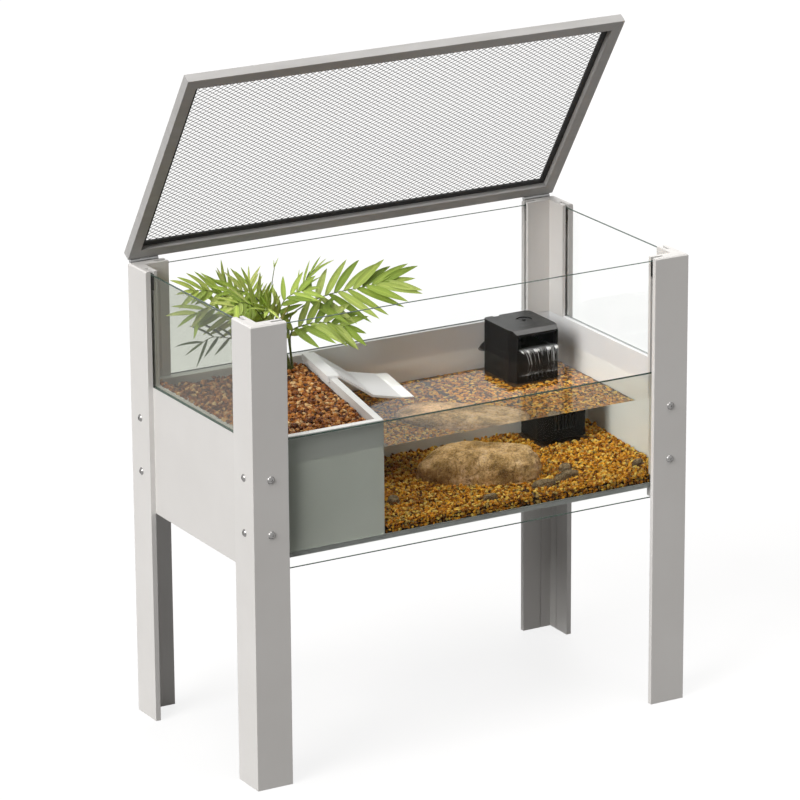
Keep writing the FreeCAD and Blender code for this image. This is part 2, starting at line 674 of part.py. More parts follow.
def make_ramp(parts):
    start, along, out = slant_frame()
    length = (V(slant_x(PLANTER_BACK), PLANTER_BACK, 0) - V(slant_x(PLANTER_FRONT), PLANTER_FRONT, 0)).Length
    top = RAMP_SEAT + RAMP_THICK
    lip = -PLANTER_WALL - RAMP_HOOK_PLAY - RAMP_THICK
    crest = RAMP_THICK
    profile = [
        (lip, -RAMP_LIP),
        (lip, top),
        (crest, top),
        (crest + RAMP_STEEP_RUN, top - RAMP_STEEP_DROP),
        (crest + RAMP_STEEP_RUN + RAMP_FLAT_RUN, top - RAMP_STEEP_DROP - RAMP_FLAT_DROP),
    ]
    base = start + along * (length - RAMP_BACK_INSET - RAMP_WIDTH)
    outline = [base + out * h + Z_AXIS * z for h, z in offset_strip(profile, RAMP_THICK)]
    parts["ramp"] = polygon(outline).extrude(along * RAMP_WIDTH)


def gravel_plan():
    """Plan of the gravel bed: right of the planter, inside the walls, glass and front post."""
    gap = GRAVEL_PLAY
    front = -PANE_IN + gap
    back = Y_WALL - gap
    return [
        (slant_x(front) + gap * 2, front),
        (POST_IN_X - gap, front),
        (POST_IN_X - gap, -POST_IN_Y + gap),
        (X_WALL - gap, -POST_IN_Y + gap),
        (X_WALL - gap, back),
        (slant_x(back) + gap * 2, back),
    ]


def gravel_top(y):
    share = (y + PANE_IN) / (Y_WALL + PANE_IN)
    return FLOOR_TOP + GRAVEL_FRONT + (GRAVEL_BACK - GRAVEL_FRONT) * share


def stone(size, x, y, crown, turn):
    """An ellipsoid stone of the given size whose crown stands a given height over the gravel."""
    unit = Part.makeSphere(0.5)
    matrix = FreeCAD.Matrix()
    matrix.scale(V(*size))
    shape = unit.transformGeometry(matrix)
    shape = turned(shape, V(0, 0, 0), Z_AXIS, turn)
    return moved(shape, V(x, y, gravel_top(y) + crown - size[2] / 2))


def make_gravel_and_stones(parts):
    front = -PANE_IN
    side = [V(-X_IN, front, 0), V(-X_IN, Y_WALL, 0), V(-X_IN, Y_WALL, gravel_top(Y_WALL)),
            V(-X_IN, front, gravel_top(front))]
    below = polygon(side).extrude(V(2 * X_IN, 0, 0))
    parts["tub_gravel"] = prism(gravel_plan(), FLOOR_TOP, RIM_HEIGHT).common(below)
    boulder_y = front + BOULDER_FROM_PANE
    boulder_x = (slant_x(boulder_y) + X_WALL) / 2 - BOULDER_LEFT_OF_MIDDLE
    boulder_size = (BOULDER_LENGTH, BOULDER_WIDTH, BOULDER_HEIGHT)
    boulder = stone(boulder_size, boulder_x, boulder_y, BOULDER_CROWN, BOULDER_ANGLE)
    parts["boulder"] = boulder.cut(below)
    pebbles = []
    for share, depth, length, width, crown, turn in STONES:
        y = front + depth
        x = slant_x(y) + share * (X_WALL - slant_x(y))
        pebbles.append(stone((length, width, 2 * crown), x, y, crown, turn).cut(below))
    parts["river_stones"] = group(pebbles)


def frond_blade(bend, tip, reach):
    """A flat comb of pointed leaflets along the outer part of a frond."""
    way = tip - bend
    length = way.Length
    along = way.normalize()
    across = along.cross(BLADE_FACING).normalize()
    normal = across.cross(along)
    count = max(2, int((length - LEAFLET_BASE) / LEAFLET_PITCH))
    angle = math.radians(LEAFLET_ANGLE)
    side = []
    for i in range(count):
        start = LEAFLET_BASE / 2 + i * LEAFLET_PITCH
        point = (start + reach * math.cos(angle), STALK_RADIUS + reach * math.sin(angle))
        side += [(start, STALK_RADIUS), point, (start + LEAFLET_BASE, STALK_RADIUS)]
    outline = [(0, STALK_RADIUS)] + side + [(length + LEAFLET_BASE, 0)]
    outline += [(a, -b) for a, b in reversed([(0, STALK_RADIUS)] + side)]
    face = polygon([bend + along * a + across * b - normal * (LEAF_THICK / 2) for a, b in outline])
    return face.extrude(normal * LEAF_THICK)


def make_palm(parts):
    inside_back = PLANTER_BACK - PLANTER_WALL
    x = slant_x(inside_back) - slant_inset(PLANTER_WALL) - CROWN_INSET_RIGHT
    root = V(x, inside_back - CROWN_INSET_BACK, PLANTER_SOIL)
    pieces = []
    for bend, tip, reach in FRONDS:
        elbow = root + bend
        foot = root + Z_AXIS * (CROWN_HEIGHT / 2)
        pieces.append(rod(STALK_RADIUS, foot, elbow - foot, (elbow - foot).Length))
        pieces.append(Part.makeSphere(STALK_RADIUS, elbow))
        pieces.append(frond_blade(elbow, root + tip, reach))
    crown = rod(CROWN_RADIUS, root, Z_AXIS, CROWN_HEIGHT)
    parts["palm_plant"] = crown.fuse(pieces)


def pump_block(inset, z0, z1):
    """The filter's plan, a wall's inset smaller: round back corners, sides that taper in to the front."""
    half = PUMP_WIDTH / 2 - inset
    front = PUMP_FRONT + inset
    back = PUMP_BACK - inset
    slant = math.hypot(PUMP_TAPER, PUMP_TAPER_RUN)
    taper_y = PUMP_FRONT + PUMP_TAPER_RUN + inset * (slant - PUMP_TAPER_RUN) / PUMP_TAPER
    front_half = PUMP_WIDTH / 2 - PUMP_TAPER - inset * (slant - PUMP_TAPER) / PUMP_TAPER_RUN
    right_side = [(front_half, front), (half, taper_y), (half, back)]
    left_side = [(-x, y) for x, y in reversed(right_side)]
    block = prism([(PUMP_MID_X + x, y) for x, y in right_side + left_side], z0, z1)
    uprights = [e for e in block.Edges if abs(e.BoundBox.YMin - back) < 0.01 and e.BoundBox.XLength < 0.01]
    return block.makeFillet(PUMP_BACK_ROUND - inset, uprights)


def make_pump_case(parts):
    low = PUMP_BOTTOM + PUMP_FLOOR + GRILLE_ABOVE_FLOOR
    high = low + GRILLE_HEIGHT
    left = PUMP_MID_X - GRILLE_WIDTH / 2
    wall = (PUMP_FRONT, PUMP_FRONT + PUMP_WALL)
    grille = box(left, left + GRILLE_WIDTH, wall[0], wall[1], low, high)
    stems = []
    for x in cup_places():
        stems.append(rod(CUP_STEM_RADIUS, V(x, PUMP_BACK - PUMP_WALL, cup_height()), Y_AXIS, PUMP_WALL))
    housing = pump_block(0, PUMP_BOTTOM, PUMP_SEAM)
    housing = housing.cut(pump_block(PUMP_WALL, PUMP_BOTTOM + PUMP_FLOOR, PUMP_SEAM))
    parts["pump_housing"] = housing.cut(group(stems + [grille]))
    step = (GRILLE_WIDTH - 2 * GRILLE_BORDER - GRILLE_SLOT_WIDTH) / (GRILLE_SLOTS - 1)
    slots = []
    for i in range(GRILLE_SLOTS):
        edge = left + GRILLE_BORDER + i * step
        slots.append(box(edge, edge + GRILLE_SLOT_WIDTH, wall[0], wall[1],
                         low + GRILLE_BORDER, high - GRILLE_BORDER))
    parts["intake_grille"] = grille.cut(group(slots))


def cup_places():
    return (PUMP_MID_X - CUP_SPREAD / 2, PUMP_MID_X + CUP_SPREAD / 2)


def cup_height():
    return PUMP_TOP - CUP_BELOW_TOP


def make_suction_cups(parts):
    cups = []
    for x in cup_places():
        seat = V(x, PUMP_BACK, cup_height())
        dish = Part.makeCone(CUP_STEM_RADIUS, CUP_RADIUS, PUMP_BACK_GAP - CUP_RIM, seat, Y_AXIS)
        rim = rod(CUP_RADIUS, seat + V(0, PUMP_BACK_GAP - CUP_RIM, 0), Y_AXIS, CUP_RIM)
        hollow = Part.makeCone(CUP_STEM_RADIUS / 2, CUP_RADIUS - CUP_RIM, PUMP_BACK_GAP - CUP_RIM,
                               seat + V(0, CUP_RIM, 0), Y_AXIS)
        stem = rod(CUP_STEM_RADIUS, seat - V(0, PUMP_WALL, 0), Y_AXIS, PUMP_WALL)
        head = rod(CUP_HEAD_RADIUS, seat - V(0, PUMP_WALL + CUP_RIM, 0), Y_AXIS, CUP_RIM)
        cups.append(dish.fuse([rim, stem, head]).cut(hollow).removeSplitter())
    parts["suction_cups"] = group(cups)


def cover_shell():
    """The filter's upper shell, with a skirt that locates it inside the housing's rim."""
    skirt_inset = PUMP_WALL + COVER_PLAY
    ledge = PUMP_SEAM + PUMP_WALL
    skirt = pump_block(skirt_inset, PUMP_SEAM - COVER_SKIRT, ledge)
    skirt = skirt.fuse(pump_block(PUMP_WALL / 2, PUMP_SEAM, ledge))
    skirt = skirt.cut(pump_block(skirt_inset + PUMP_WALL, PUMP_SEAM - COVER_SKIRT, ledge))
    shell = pump_block(0, PUMP_SEAM, PUMP_TOP).cut(pump_block(PUMP_WALL, PUMP_SEAM, COVER_CEILING))
    return shell.fuse(skirt)


def cover_front_bevel():
    corner = V(PUMP_RIGHT - PUMP_WIDTH, PUMP_FRONT, PUMP_TOP)
    wedge = polygon([corner, corner + V(0, COVER_BEVEL_RUN, 0), corner - V(0, 0, COVER_BEVEL_DROP)])
    return wedge.extrude(V(PUMP_WIDTH, 0, 0))


def make_pump_cover(parts):
    left = PUMP_MID_X - FALL_WIDTH / 2
    right = PUMP_MID_X + FALL_WIDTH / 2
    low = PUMP_SEAM + FALL_RISE
    inside = PUMP_FRONT + PUMP_WALL + LIP_LEDGE
    fall = box(left, right, PUMP_FRONT, inside, low, low + FALL_HEIGHT)
    parts["waterfall_lip"] = box(left, right, PUMP_FRONT - LIP_REACH, inside, low, low + LIP_THICK)
    plug_at = V(PUMP_MID_X + PLUG_OFFSET_X, PUMP_BACK - PUMP_DEPTH / 2 + PLUG_OFFSET_Y, 0)
    dish_floor = PUMP_TOP - PLUG_DISH_DEPTH
    dish = rod(PLUG_DISH_RADIUS, plug_at + Z_AXIS * dish_floor, Z_AXIS, PLUG_DISH_DEPTH)
    seat = rod(PLUG_RADIUS + PLUG_PLAY, plug_at + Z_AXIS * PUMP_SEAM, Z_AXIS, COVER_HEIGHT)
    plug = rod(PLUG_RADIUS, plug_at + Z_AXIS * COVER_CEILING, Z_AXIS, dish_floor - COVER_CEILING)
    flange = rod(PLUG_FLANGE_RADIUS, plug_at + Z_AXIS * (COVER_CEILING - LIP_THICK), Z_AXIS, LIP_THICK)
    bore = rod(PLUG_BORE, plug_at + Z_AXIS * PUMP_SEAM, Z_AXIS, COVER_HEIGHT)
    parts["nozzle_plug"] = plug.fuse(flange).cut(bore).removeSplitter()
    notch_x = PUMP_RIGHT - PUMP_WIDTH + NOTCH_OFFSET
    half = NOTCH_WIDTH / 2
    notch = box(notch_x - half, notch_x + half, PUMP_BACK - NOTCH_DEPTH, PUMP_BACK,
                PUMP_SEAM - COVER_SKIRT, PUMP_TOP)
    cover = cover_shell().cut(group([cover_front_bevel(), fall, dish, seat, notch]))
    parts["pump_cover"] = cover.removeSplitter()
    grommet_half = half - COVER_PLAY
    grommet_front = PUMP_BACK - NOTCH_DEPTH + COVER_PLAY
    grommet = box(notch_x - grommet_half, notch_x + grommet_half, grommet_front, PUMP_BACK, PUMP_SEAM,
                  PUMP_SEAM + NOTCH_WIDTH)
    eye = rod(GROMMET_BORE, V(notch_x, grommet_front, PUMP_SEAM + half), Y_AXIS, PUMP_BACK - grommet_front)
    parts["cord_grommet"] = grommet.cut(eye)


def make_pump_works(parts):
    floor_top = PUMP_BOTTOM + PUMP_FLOOR
    inside_back = PUMP_BACK - PUMP_WALL
    motor_front = inside_back - MOTOR_DEPTH
    axis = V(PUMP_MID_X, inside_back - MOTOR_DEPTH / 2, 0)
    motor_top = floor_top + MOTOR_HEIGHT
    well_floor = motor_top - ROTOR_LENGTH
    motor = box(PUMP_MID_X - MOTOR_WIDTH / 2, PUMP_MID_X + MOTOR_WIDTH / 2, motor_front, inside_back,
                floor_top, motor_top)
    well = rod(ROTOR_RADIUS + ROTOR_PLAY, axis + V(0, 0, well_floor), Z_AXIS, ROTOR_LENGTH)
    shaft_seat = rod(SHAFT_RADIUS, axis + V(0, 0, well_floor - SHAFT_SEAT), Z_AXIS, SHAFT_SEAT)
    parts["motor_block"] = motor.cut(group([well, shaft_seat]))
    rotor_low = well_floor + ROTOR_PLAY
    rotor_top = rotor_low + ROTOR_LENGTH
    bore = SHAFT_RADIUS + SHAFT_PLAY
    parts["rotor_magnet"] = tube(ROTOR_RADIUS, bore, axis + V(0, 0, rotor_low), Z_AXIS, ROTOR_LENGTH)
    hub = rod(IMPELLER_HUB, axis + V(0, 0, rotor_top), Z_AXIS, IMPELLER_HEIGHT)
    blade = box(PUMP_MID_X, PUMP_MID_X + IMPELLER_RADIUS, axis.y - IMPELLER_BLADE / 2,
                axis.y + IMPELLER_BLADE / 2, rotor_top, rotor_top + IMPELLER_HEIGHT)
    blades = [turned(blade, axis, Z_AXIS, 360.0 * i / IMPELLER_BLADES) for i in range(IMPELLER_BLADES)]
    wheel = hub.fuse(blades).cut(rod(bore, axis + V(0, 0, rotor_top), Z_AXIS, IMPELLER_HEIGHT))
    parts["impeller"] = wheel.removeSplitter()
    room_radius = IMPELLER_RADIUS + VOLUTE_PLAY
    room_top = rotor_top + IMPELLER_HEIGHT + VOLUTE_PLAY
    cap_top = room_top + SHAFT_SEAT + VOLUTE_WALL
    cup = rod(room_radius + VOLUTE_WALL, axis + V(0, 0, motor_top), Z_AXIS, cap_top - motor_top)
    room = rod(room_radius, axis + V(0, 0, motor_top), Z_AXIS, room_top - motor_top)
    socket = rod(SHAFT_RADIUS, axis + V(0, 0, room_top), Z_AXIS, SHAFT_SEAT)
    riser_axis = axis + V(0, -RISER_OFFSET, 0)
    riser_top = PUMP_SEAM + FALL_RISE
    riser = rod(RISER_RADIUS, riser_axis + V(0, 0, cap_top), Z_AXIS, riser_top - cap_top)
    passage = rod(RISER_RADIUS - RISER_WALL, riser_axis + V(0, 0, room_top), Z_AXIS, riser_top - room_top)
    window = box(PUMP_MID_X - RISER_RADIUS, PUMP_MID_X + RISER_RADIUS, motor_front, axis.y - IMPELLER_RADIUS,
                 motor_top + VOLUTE_WALL, room_top - VOLUTE_WALL)
    parts["volute_cover"] = cup.fuse(riser).cut(group([room, socket, passage, window])).removeSplitter()
    shaft_low = well_floor - SHAFT_SEAT
    shaft_length = room_top + SHAFT_SEAT - shaft_low
    parts["pump_shaft"] = rod(SHAFT_RADIUS, axis + V(0, 0, shaft_low), Z_AXIS, shaft_length)
    sponge_front = PUMP_FRONT + PUMP_WALL + SPONGE_PLAY
    half = PUMP_WIDTH / 2 - PUMP_TAPER - PUMP_WALL
    parts["filter_sponge"] = box(PUMP_MID_X - half, PUMP_MID_X + half, sponge_front,
                                 sponge_front + SPONGE_DEPTH, floor_top, floor_top + SPONGE_HEIGHT)


def middle_of_floor_area():
    """Middle in depth of the box round the whole object at rest, between front bolt heads and open lid."""
    swing = math.radians(LID_OPEN)
    front = -Y_OUT - HEAD_HEIGHT
    back = HINGE_Y + (LID_BACK - HINGE_Y) * math.cos(swing) + (LID_TOP - HINGE_Z) * math.sin(swing)
    return (front + back) / 2


def main():
    parts = {}
    make_legs(parts)
    make_retainers(parts)
    make_fasteners(parts)
    make_tub(parts)
    make_upper_glass(parts)
    make_lid_frame(parts)
    make_hinges(parts)
    make_planter(parts)
    make_ramp(parts)
    make_gravel_and_stones(parts)
    make_palm(parts)
    make_pump_case(parts)
    make_suction_cups(parts)
    make_pump_cover(parts)
    make_pump_works(parts)
    to_origin = V(0, -middle_of_floor_area(), 0)
    os.makedirs("parts", exist_ok=True)
    for name, shape in parts.items():
        moved(shape, to_origin).exportStep("parts/%s.step" % name)
    print("pieces:", len(parts))
    print("depth shift to the origin: %.4f" % to_origin.y)


main()
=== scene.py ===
import bmesh
import bpy
import json
import math
import random
from mathutils import Euler, Matrix, Vector, noise


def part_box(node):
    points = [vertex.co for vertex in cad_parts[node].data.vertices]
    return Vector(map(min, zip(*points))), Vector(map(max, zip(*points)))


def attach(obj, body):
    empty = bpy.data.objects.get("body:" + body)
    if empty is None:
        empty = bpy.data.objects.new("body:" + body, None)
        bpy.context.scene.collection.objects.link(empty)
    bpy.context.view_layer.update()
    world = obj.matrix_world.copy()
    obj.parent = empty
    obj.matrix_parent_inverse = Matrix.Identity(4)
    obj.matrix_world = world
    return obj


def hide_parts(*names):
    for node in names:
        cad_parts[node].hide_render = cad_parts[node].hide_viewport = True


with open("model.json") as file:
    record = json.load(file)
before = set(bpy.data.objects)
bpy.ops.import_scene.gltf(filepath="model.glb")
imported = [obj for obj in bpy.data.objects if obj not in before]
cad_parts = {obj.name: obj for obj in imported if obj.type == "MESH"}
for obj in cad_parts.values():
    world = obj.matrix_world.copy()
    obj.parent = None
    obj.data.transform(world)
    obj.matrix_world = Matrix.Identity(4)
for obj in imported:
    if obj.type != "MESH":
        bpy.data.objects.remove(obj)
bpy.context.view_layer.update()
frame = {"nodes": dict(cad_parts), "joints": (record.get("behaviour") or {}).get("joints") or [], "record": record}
scene = bpy.context.scene
scene.view_settings.view_transform = "Standard"

# Sizes and places are in millimetres, from the middle between the legs and from the ground
MM = 0.001
LOW, HIGH = range(2)
X, Y, Z = range(3)


def side_of(node, corner, axis):
    """Where a side of a node's box lies in the frame, in millimetres."""
    return round(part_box(node)[corner][axis] / MM, 3)


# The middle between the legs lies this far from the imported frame's zero
DEPTH_SHIFT = (side_of("leg_front_left", LOW, Y) + side_of("leg_rear_left", HIGH, Y)) / 2


def depth_of(node, corner):
    """Where the front or back of a node's box lies, from the middle between the legs."""
    return side_of(node, corner, Y) - DEPTH_SHIFT


def at(x, y, z):
    """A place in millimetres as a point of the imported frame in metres."""
    return Vector((x, y + DEPTH_SHIFT, z)) * MM


# Sides of the tank's pieces
PANE_Y = depth_of("front_tub_glass", HIGH)
WALL_X = side_of("tub_right_wall", LOW, X)
WALL_Y = depth_of("tub_back_wall", LOW)
POST_X = side_of("front_post_right", LOW, X)
POST_Y = depth_of("front_post_right", HIGH)
FLOOR_TOP = side_of("tub_floor", HIGH, Z)
PUMP_LEFT = side_of("pump_housing", LOW, X)
PUMP_RIGHT = side_of("pump_housing", HIGH, X)
PUMP_FRONT = depth_of("pump_housing", LOW)
PLANTER_LEFT = side_of("planter_tray", LOW, X)
PLANTER_FRONT = depth_of("planter_tray", LOW)
PLANTER_BACK = depth_of("planter_tray", HIGH)
PLANTER_RIM = side_of("planter_tray", HIGH, Z)
SOIL = side_of("planter_gravel", HIGH, Z)
SOIL_BOTTOM = side_of("planter_gravel", LOW, Z)

# The planter's right wall slants, and its front left corner steps back round the corner post
SLANT_FRONT_X = PLANTER_LEFT + 165.3
SLANT_BACK_X = side_of("planter_tray", HIGH, X)
STEP_X = 13.0 - POST_X
STEP_Y = POST_Y + 10.0

# Levels in the tub
GRAVEL_FRONT = FLOOR_TOP + 12.0
GRAVEL_BACK = FLOOR_TOP + 24.5
WATER_LEVEL = FLOOR_TOP + 109.0


def slant_x(y):
    """The outside of the planter's slanted wall at a depth."""
    share = (y - PLANTER_FRONT) / (PLANTER_BACK - PLANTER_FRONT)
    return SLANT_FRONT_X + (SLANT_BACK_X - SLANT_FRONT_X) * share


def gravel_top(y):
    """The height of the tub's gravel, which rises towards the back."""
    return GRAVEL_FRONT + (GRAVEL_BACK - GRAVEL_FRONT) * (y - PANE_Y) / (WALL_Y - PANE_Y)


def soil_top(y):
    """The height of the planter's gravel, which is level."""
    return SOIL


# Shader helpers

WHITE = (1.0, 1.0, 1.0, 1.0)


def grey(value):
    return (value, value, value)


def new_material(name):
    """An empty material and its node tree."""
    material = bpy.data.materials.new(name)
    material.use_nodes = True
    material.node_tree.nodes.clear()
    return material, material.node_tree


def feed(tree, socket, value):
    """Sets a socket to a value, or links it if the value is another node's socket."""
    if isinstance(value, bpy.types.NodeSocket):
        tree.links.new(value, socket)
    else:
        socket.default_value = value


def add(tree, kind, settings=None, **inputs):
    """A node with its settings and inputs; an input's name is written with _ for a space."""
    node = tree.nodes.new(kind)
    for key, value in (settings or {}).items():
        setattr(node, key, value)
    for key, value in inputs.items():
        feed(tree, node.inputs[key.replace("_", " ")], value)
    return node


def finish_material(tree, shader):
    output = tree.nodes.new("ShaderNodeOutputMaterial")
    tree.links.new(shader.outputs[0], output.inputs["Surface"])


def finish_principled(tree, colour, roughness, normal, **fixed):
    shader = add(tree, "ShaderNodeBsdfPrincipled", Base_Color=colour, Roughness=roughness, Normal=normal,
                 **fixed)
    finish_material(tree, shader)


def object_place(tree, stretch=None):
    place = tree.nodes.new("ShaderNodeTexCoord").outputs["Object"]
    if stretch:
        return add(tree, "ShaderNodeMapping", Vector=place, Scale=stretch).outputs[0]
    return place


def component(tree, vector, axis):
    return add(tree, "ShaderNodeSeparateXYZ", Vector=vector).outputs[axis]


def clouds(tree, scale, detail=3.0, roughness=0.55, stretch=None):
    """Soft noise; scale is about the number of clouds in a metre."""
    place = object_place(tree, stretch)
    node = add(tree, "ShaderNodeTexNoise", Vector=place, Scale=scale, Detail=detail, Roughness=roughness)
    return node.outputs[0]


def ramp(tree, value, stops):
    """Colours that follow a value; a stop is its place and its colour."""
    node = add(tree, "ShaderNodeValToRGB", Fac=value)
    elements = node.color_ramp.elements
    while len(elements) < len(stops):
        elements.new(0.5)
    for element, (place, colour) in zip(elements, stops):
        element.position = place
        element.color = (*colour, 1.0)
    return node.outputs[0]


def spread(tree, value, low, high, start=0.3, end=0.7):
    """A value that runs from low to high while another runs from start to end."""
    node = add(tree, "ShaderNodeMapRange", Value=value, From_Min=start, From_Max=end, To_Min=low, To_Max=high)
    return node.outputs[0]


def blend(tree, share, one, two, kind="MIX"):
    """Two colours joined in the given way, with a share of the second."""
    node = add(tree, "ShaderNodeMix", {"data_type": "RGBA", "blend_type": kind})
    for place, value in ((0, share), (6, one), (7, two)):
        feed(tree, node.inputs[place], value)
    return node.outputs[2]


def mix_shaders(tree, share, one, two):
    node = add(tree, "ShaderNodeMixShader", Fac=share)
    tree.links.new(one.outputs[0], node.inputs[1])
    tree.links.new(two.outputs[0], node.inputs[2])
    return node


def calculate(tree, operation, one, two):
    node = add(tree, "ShaderNodeMath", {"operation": operation, "use_clamp": True})
    feed(tree, node.inputs[0], one)
    feed(tree, node.inputs[1], two)
    return node.outputs[0]


def bump(tree, height, strength, distance, under=None):
    """The normal of a skin that rises and falls by a distance, over another normal if one is given."""
    node = add(tree, "ShaderNodeBump", Height=height, Strength=strength, Distance=distance * MM)
    if under is not None:
        tree.links.new(under, node.inputs["Normal"])
    return node.outputs[0]


def soft_edges(tree, radius):
    return add(tree, "ShaderNodeBevel", {"samples": 4}, Radius=radius * MM).outputs[0]


def surface(name, dark, light, scale, rough, grain, depth, bevel=None, stretch=None, **fixed):
    """A finish whose colour and roughness drift, with a fine grain and softened edges."""
    material, tree = new_material(name)
    colour = ramp(tree, clouds(tree, scale, 4.0, 0.6, stretch), [(0.3, dark), (0.7, light)])
    roughness = spread(tree, clouds(tree, scale * 3.7, 3.0, 0.6, stretch), *rough)
    edges = soft_edges(tree, bevel) if bevel else None
    skin = bump(tree, clouds(tree, grain, 2.0, 0.6, stretch), 1.0, depth, edges)
    finish_principled(tree, colour, roughness, skin, **fixed)
    return material


def let_lamps_through(tree, seen, tint):
    """A shader as it is seen, which lamplight passes with only a tint."""
    lamp_way = add(tree, "ShaderNodeBsdfTransparent", Color=(*tint, 1.0))
    path = tree.nodes.new("ShaderNodeLightPath")
    return mix_shaders(tree, path.outputs["Is Shadow Ray"], seen, lamp_way)


def background_rays(tree):
    """One for rays that show the background or its mirror image, zero for rays that carry its light."""
    path = tree.nodes.new("ShaderNodeLightPath")
    shown = path.outputs["Is Camera Ray"]
    for name in ("Is Glossy Ray", "Is Transmission Ray"):
        shown = calculate(tree, "MAXIMUM", shown, path.outputs[name])
    return calculate(tree, "SUBTRACT", shown, path.outputs["Diffuse Depth"])


# Finishes of the plain pieces, by the record's slots

BRUSHED = dict(scale=40.0, grain=420.0, depth=0.01, bevel=0.3, stretch=(1.0, 14.0, 14.0), Metallic=1.0)

PAINTS = {
    "leg_white": dict(dark=(0.755, 0.742, 0.725), light=(0.80, 0.79, 0.775), scale=7.0, rough=(0.36, 0.5),
                      grain=700.0, depth=0.02, bevel=0.8),
    "tub_white": dict(dark=(0.735, 0.722, 0.705), light=(0.785, 0.773, 0.757), scale=6.0, rough=(0.34, 0.5),
                      grain=620.0, depth=0.02, bevel=0.7),
    # panel_white is a paler copy of tub_white: painted light for tub panels in shade
    "panel_white": dict(dark=(0.84, 0.855, 0.87), light=(0.885, 0.895, 0.905), scale=6.0, rough=(0.34, 0.5),
                        grain=620.0, depth=0.02, bevel=0.7),
    "planter_white": dict(dark=(0.79, 0.79, 0.775), light=(0.84, 0.84, 0.83), scale=9.0, rough=(0.45, 0.6),
                          grain=500.0, depth=0.015, bevel=0.9),
    "ramp_white": dict(dark=grey(0.83), light=grey(0.87), scale=12.0, rough=(0.5, 0.65),
                       grain=480.0, depth=0.02, bevel=0.5, Specular_IOR_Level=0.3),
    "lid_grey": dict(dark=(0.44, 0.435, 0.425), light=(0.51, 0.505, 0.50), scale=14.0, rough=(0.38, 0.5),
                     grain=900.0, depth=0.01, bevel=0.6, stretch=(1.0, 5.0, 5.0)),
    "mesh_black": dict(dark=grey(0.05), light=(0.11, 0.11, 0.108), scale=60.0, rough=(0.4, 0.6),
                       grain=1500.0, depth=0.02),
    "rubber_black": dict(dark=grey(0.010), light=(0.022, 0.022, 0.021), scale=50.0, rough=(0.6, 0.8),
                         grain=1400.0, depth=0.03, bevel=0.4),
    "bolt_steel": dict(dark=(0.20, 0.195, 0.19), light=(0.33, 0.325, 0.32), rough=(0.2, 0.36), **BRUSHED),
    "hinge_steel": dict(dark=grey(0.28), light=(0.4, 0.4, 0.395), rough=(0.28, 0.42), **BRUSHED),
    "insert_brass": dict(dark=(0.58, 0.42, 0.18), light=(0.72, 0.55, 0.27), rough=(0.25, 0.4), **BRUSHED),
    "seal_clear": dict(dark=(0.62, 0.65, 0.63), light=(0.74, 0.77, 0.75), scale=30.0, rough=(0.3, 0.45),
                       grain=600.0, depth=0.03),
    "key_plastic": dict(dark=grey(0.06), light=grey(0.1), scale=40.0, rough=(0.45, 0.6),
                        grain=1200.0, depth=0.03),
    "cup_rubber": dict(dark=grey(0.012), light=grey(0.03), scale=60.0, rough=(0.4, 0.6),
                       grain=900.0, depth=0.02),
    "sponge_grey": dict(dark=(0.03, 0.03, 0.032), light=(0.12, 0.12, 0.125), scale=420.0, rough=(0.85, 1.0),
                        grain=500.0, depth=0.8),
    "motor_black": dict(dark=(0.012, 0.012, 0.013), light=grey(0.03), scale=40.0, rough=(0.25, 0.4),
                        grain=900.0, depth=0.02, bevel=0.5),
    "shaft_ceramic": dict(dark=(0.8, 0.78, 0.74), light=(0.88, 0.86, 0.82), scale=90.0, rough=(0.15, 0.3),
                          grain=1500.0, depth=0.01),
    "magnet_dark": dict(dark=(0.05, 0.05, 0.055), light=(0.1, 0.1, 0.105), scale=160.0, rough=(0.45, 0.65),
                        grain=1400.0, depth=0.03),
    "impeller_white": dict(dark=(0.76, 0.76, 0.75), light=(0.84, 0.84, 0.83), scale=60.0, rough=(0.3, 0.45),
                           grain=900.0, depth=0.02, bevel=0.3),
}


def pump_finish():
    """Black moulded plastic, with upward faces paler as a painted reflection and a painted highlight on the front
    bevel.
    """
    material, tree = new_material("pump_black")
    drift = clouds(tree, 26.0, 4.0, 0.6)
    sides = ramp(tree, drift, [(0.3, (0.005, 0.005, 0.0055)), (0.7, grey(0.012))])
    painted_reflection_top = ramp(tree, drift, [(0.3, (0.04, 0.041, 0.041)), (0.7, (0.065, 0.065, 0.064))])
    painted_highlight_band = ramp(tree, drift, [(0.3, grey(0.15)), (0.7, grey(0.22))])
    upward = component(tree, tree.nodes.new("ShaderNodeNewGeometry").outputs["Normal"], Z)
    on_top = spread(tree, upward, 0.0, 1.0, 0.5, 0.95)
    on_bevel = ramp(tree, upward, [
        (0.80, grey(0.0)), (0.84, grey(1.0)), (0.90, grey(1.0)), (0.95, grey(0.0))])
    # Upward faces take the painted reflection, and the front bevel takes the painted highlight
    colour = blend(tree, on_bevel, blend(tree, on_top, sides, painted_reflection_top), painted_highlight_band)
    roughness = spread(tree, clouds(tree, 96.0), 0.3, 0.46)
    skin = bump(tree, clouds(tree, 1300.0, 2.0, 0.6), 1.0, 0.03, soft_edges(tree, 0.6))
    finish_principled(tree, colour, roughness, skin, Specular_IOR_Level=0.1)
    return material


FINISHES = {name: surface(name, **paint) for name, paint in PAINTS.items()}
FINISHES["pump_black"] = pump_finish()

# Panels with a paler white than the rest of the tub: painted light that lifts them where they stand in shade
SHADE_LIFTED_PANELS = ("tub_back_wall", "tub_right_wall", "tub_floor")


def dress_plain_nodes():
    for part in frame["record"]["subparts"]:
        finish = FINISHES.get(part["material_slot"])
        if finish:
            data = frame["nodes"][part["node"]].data
            data.materials.clear()
            # Panels in shade get the paler white as painted light
            data.materials.append(FINISHES["panel_white"] if part["node"] in SHADE_LIFTED_PANELS else finish)


# Mesh helpers


def new_piece(name, mesh, body, slot, *nodes):
    """An object that rides on a body and stands for the given nodes."""
    piece = bpy.data.objects.new(name, mesh)
    scene.collection.objects.link(piece)
    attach(piece, body)
    if nodes:
        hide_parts(*nodes)
    return piece


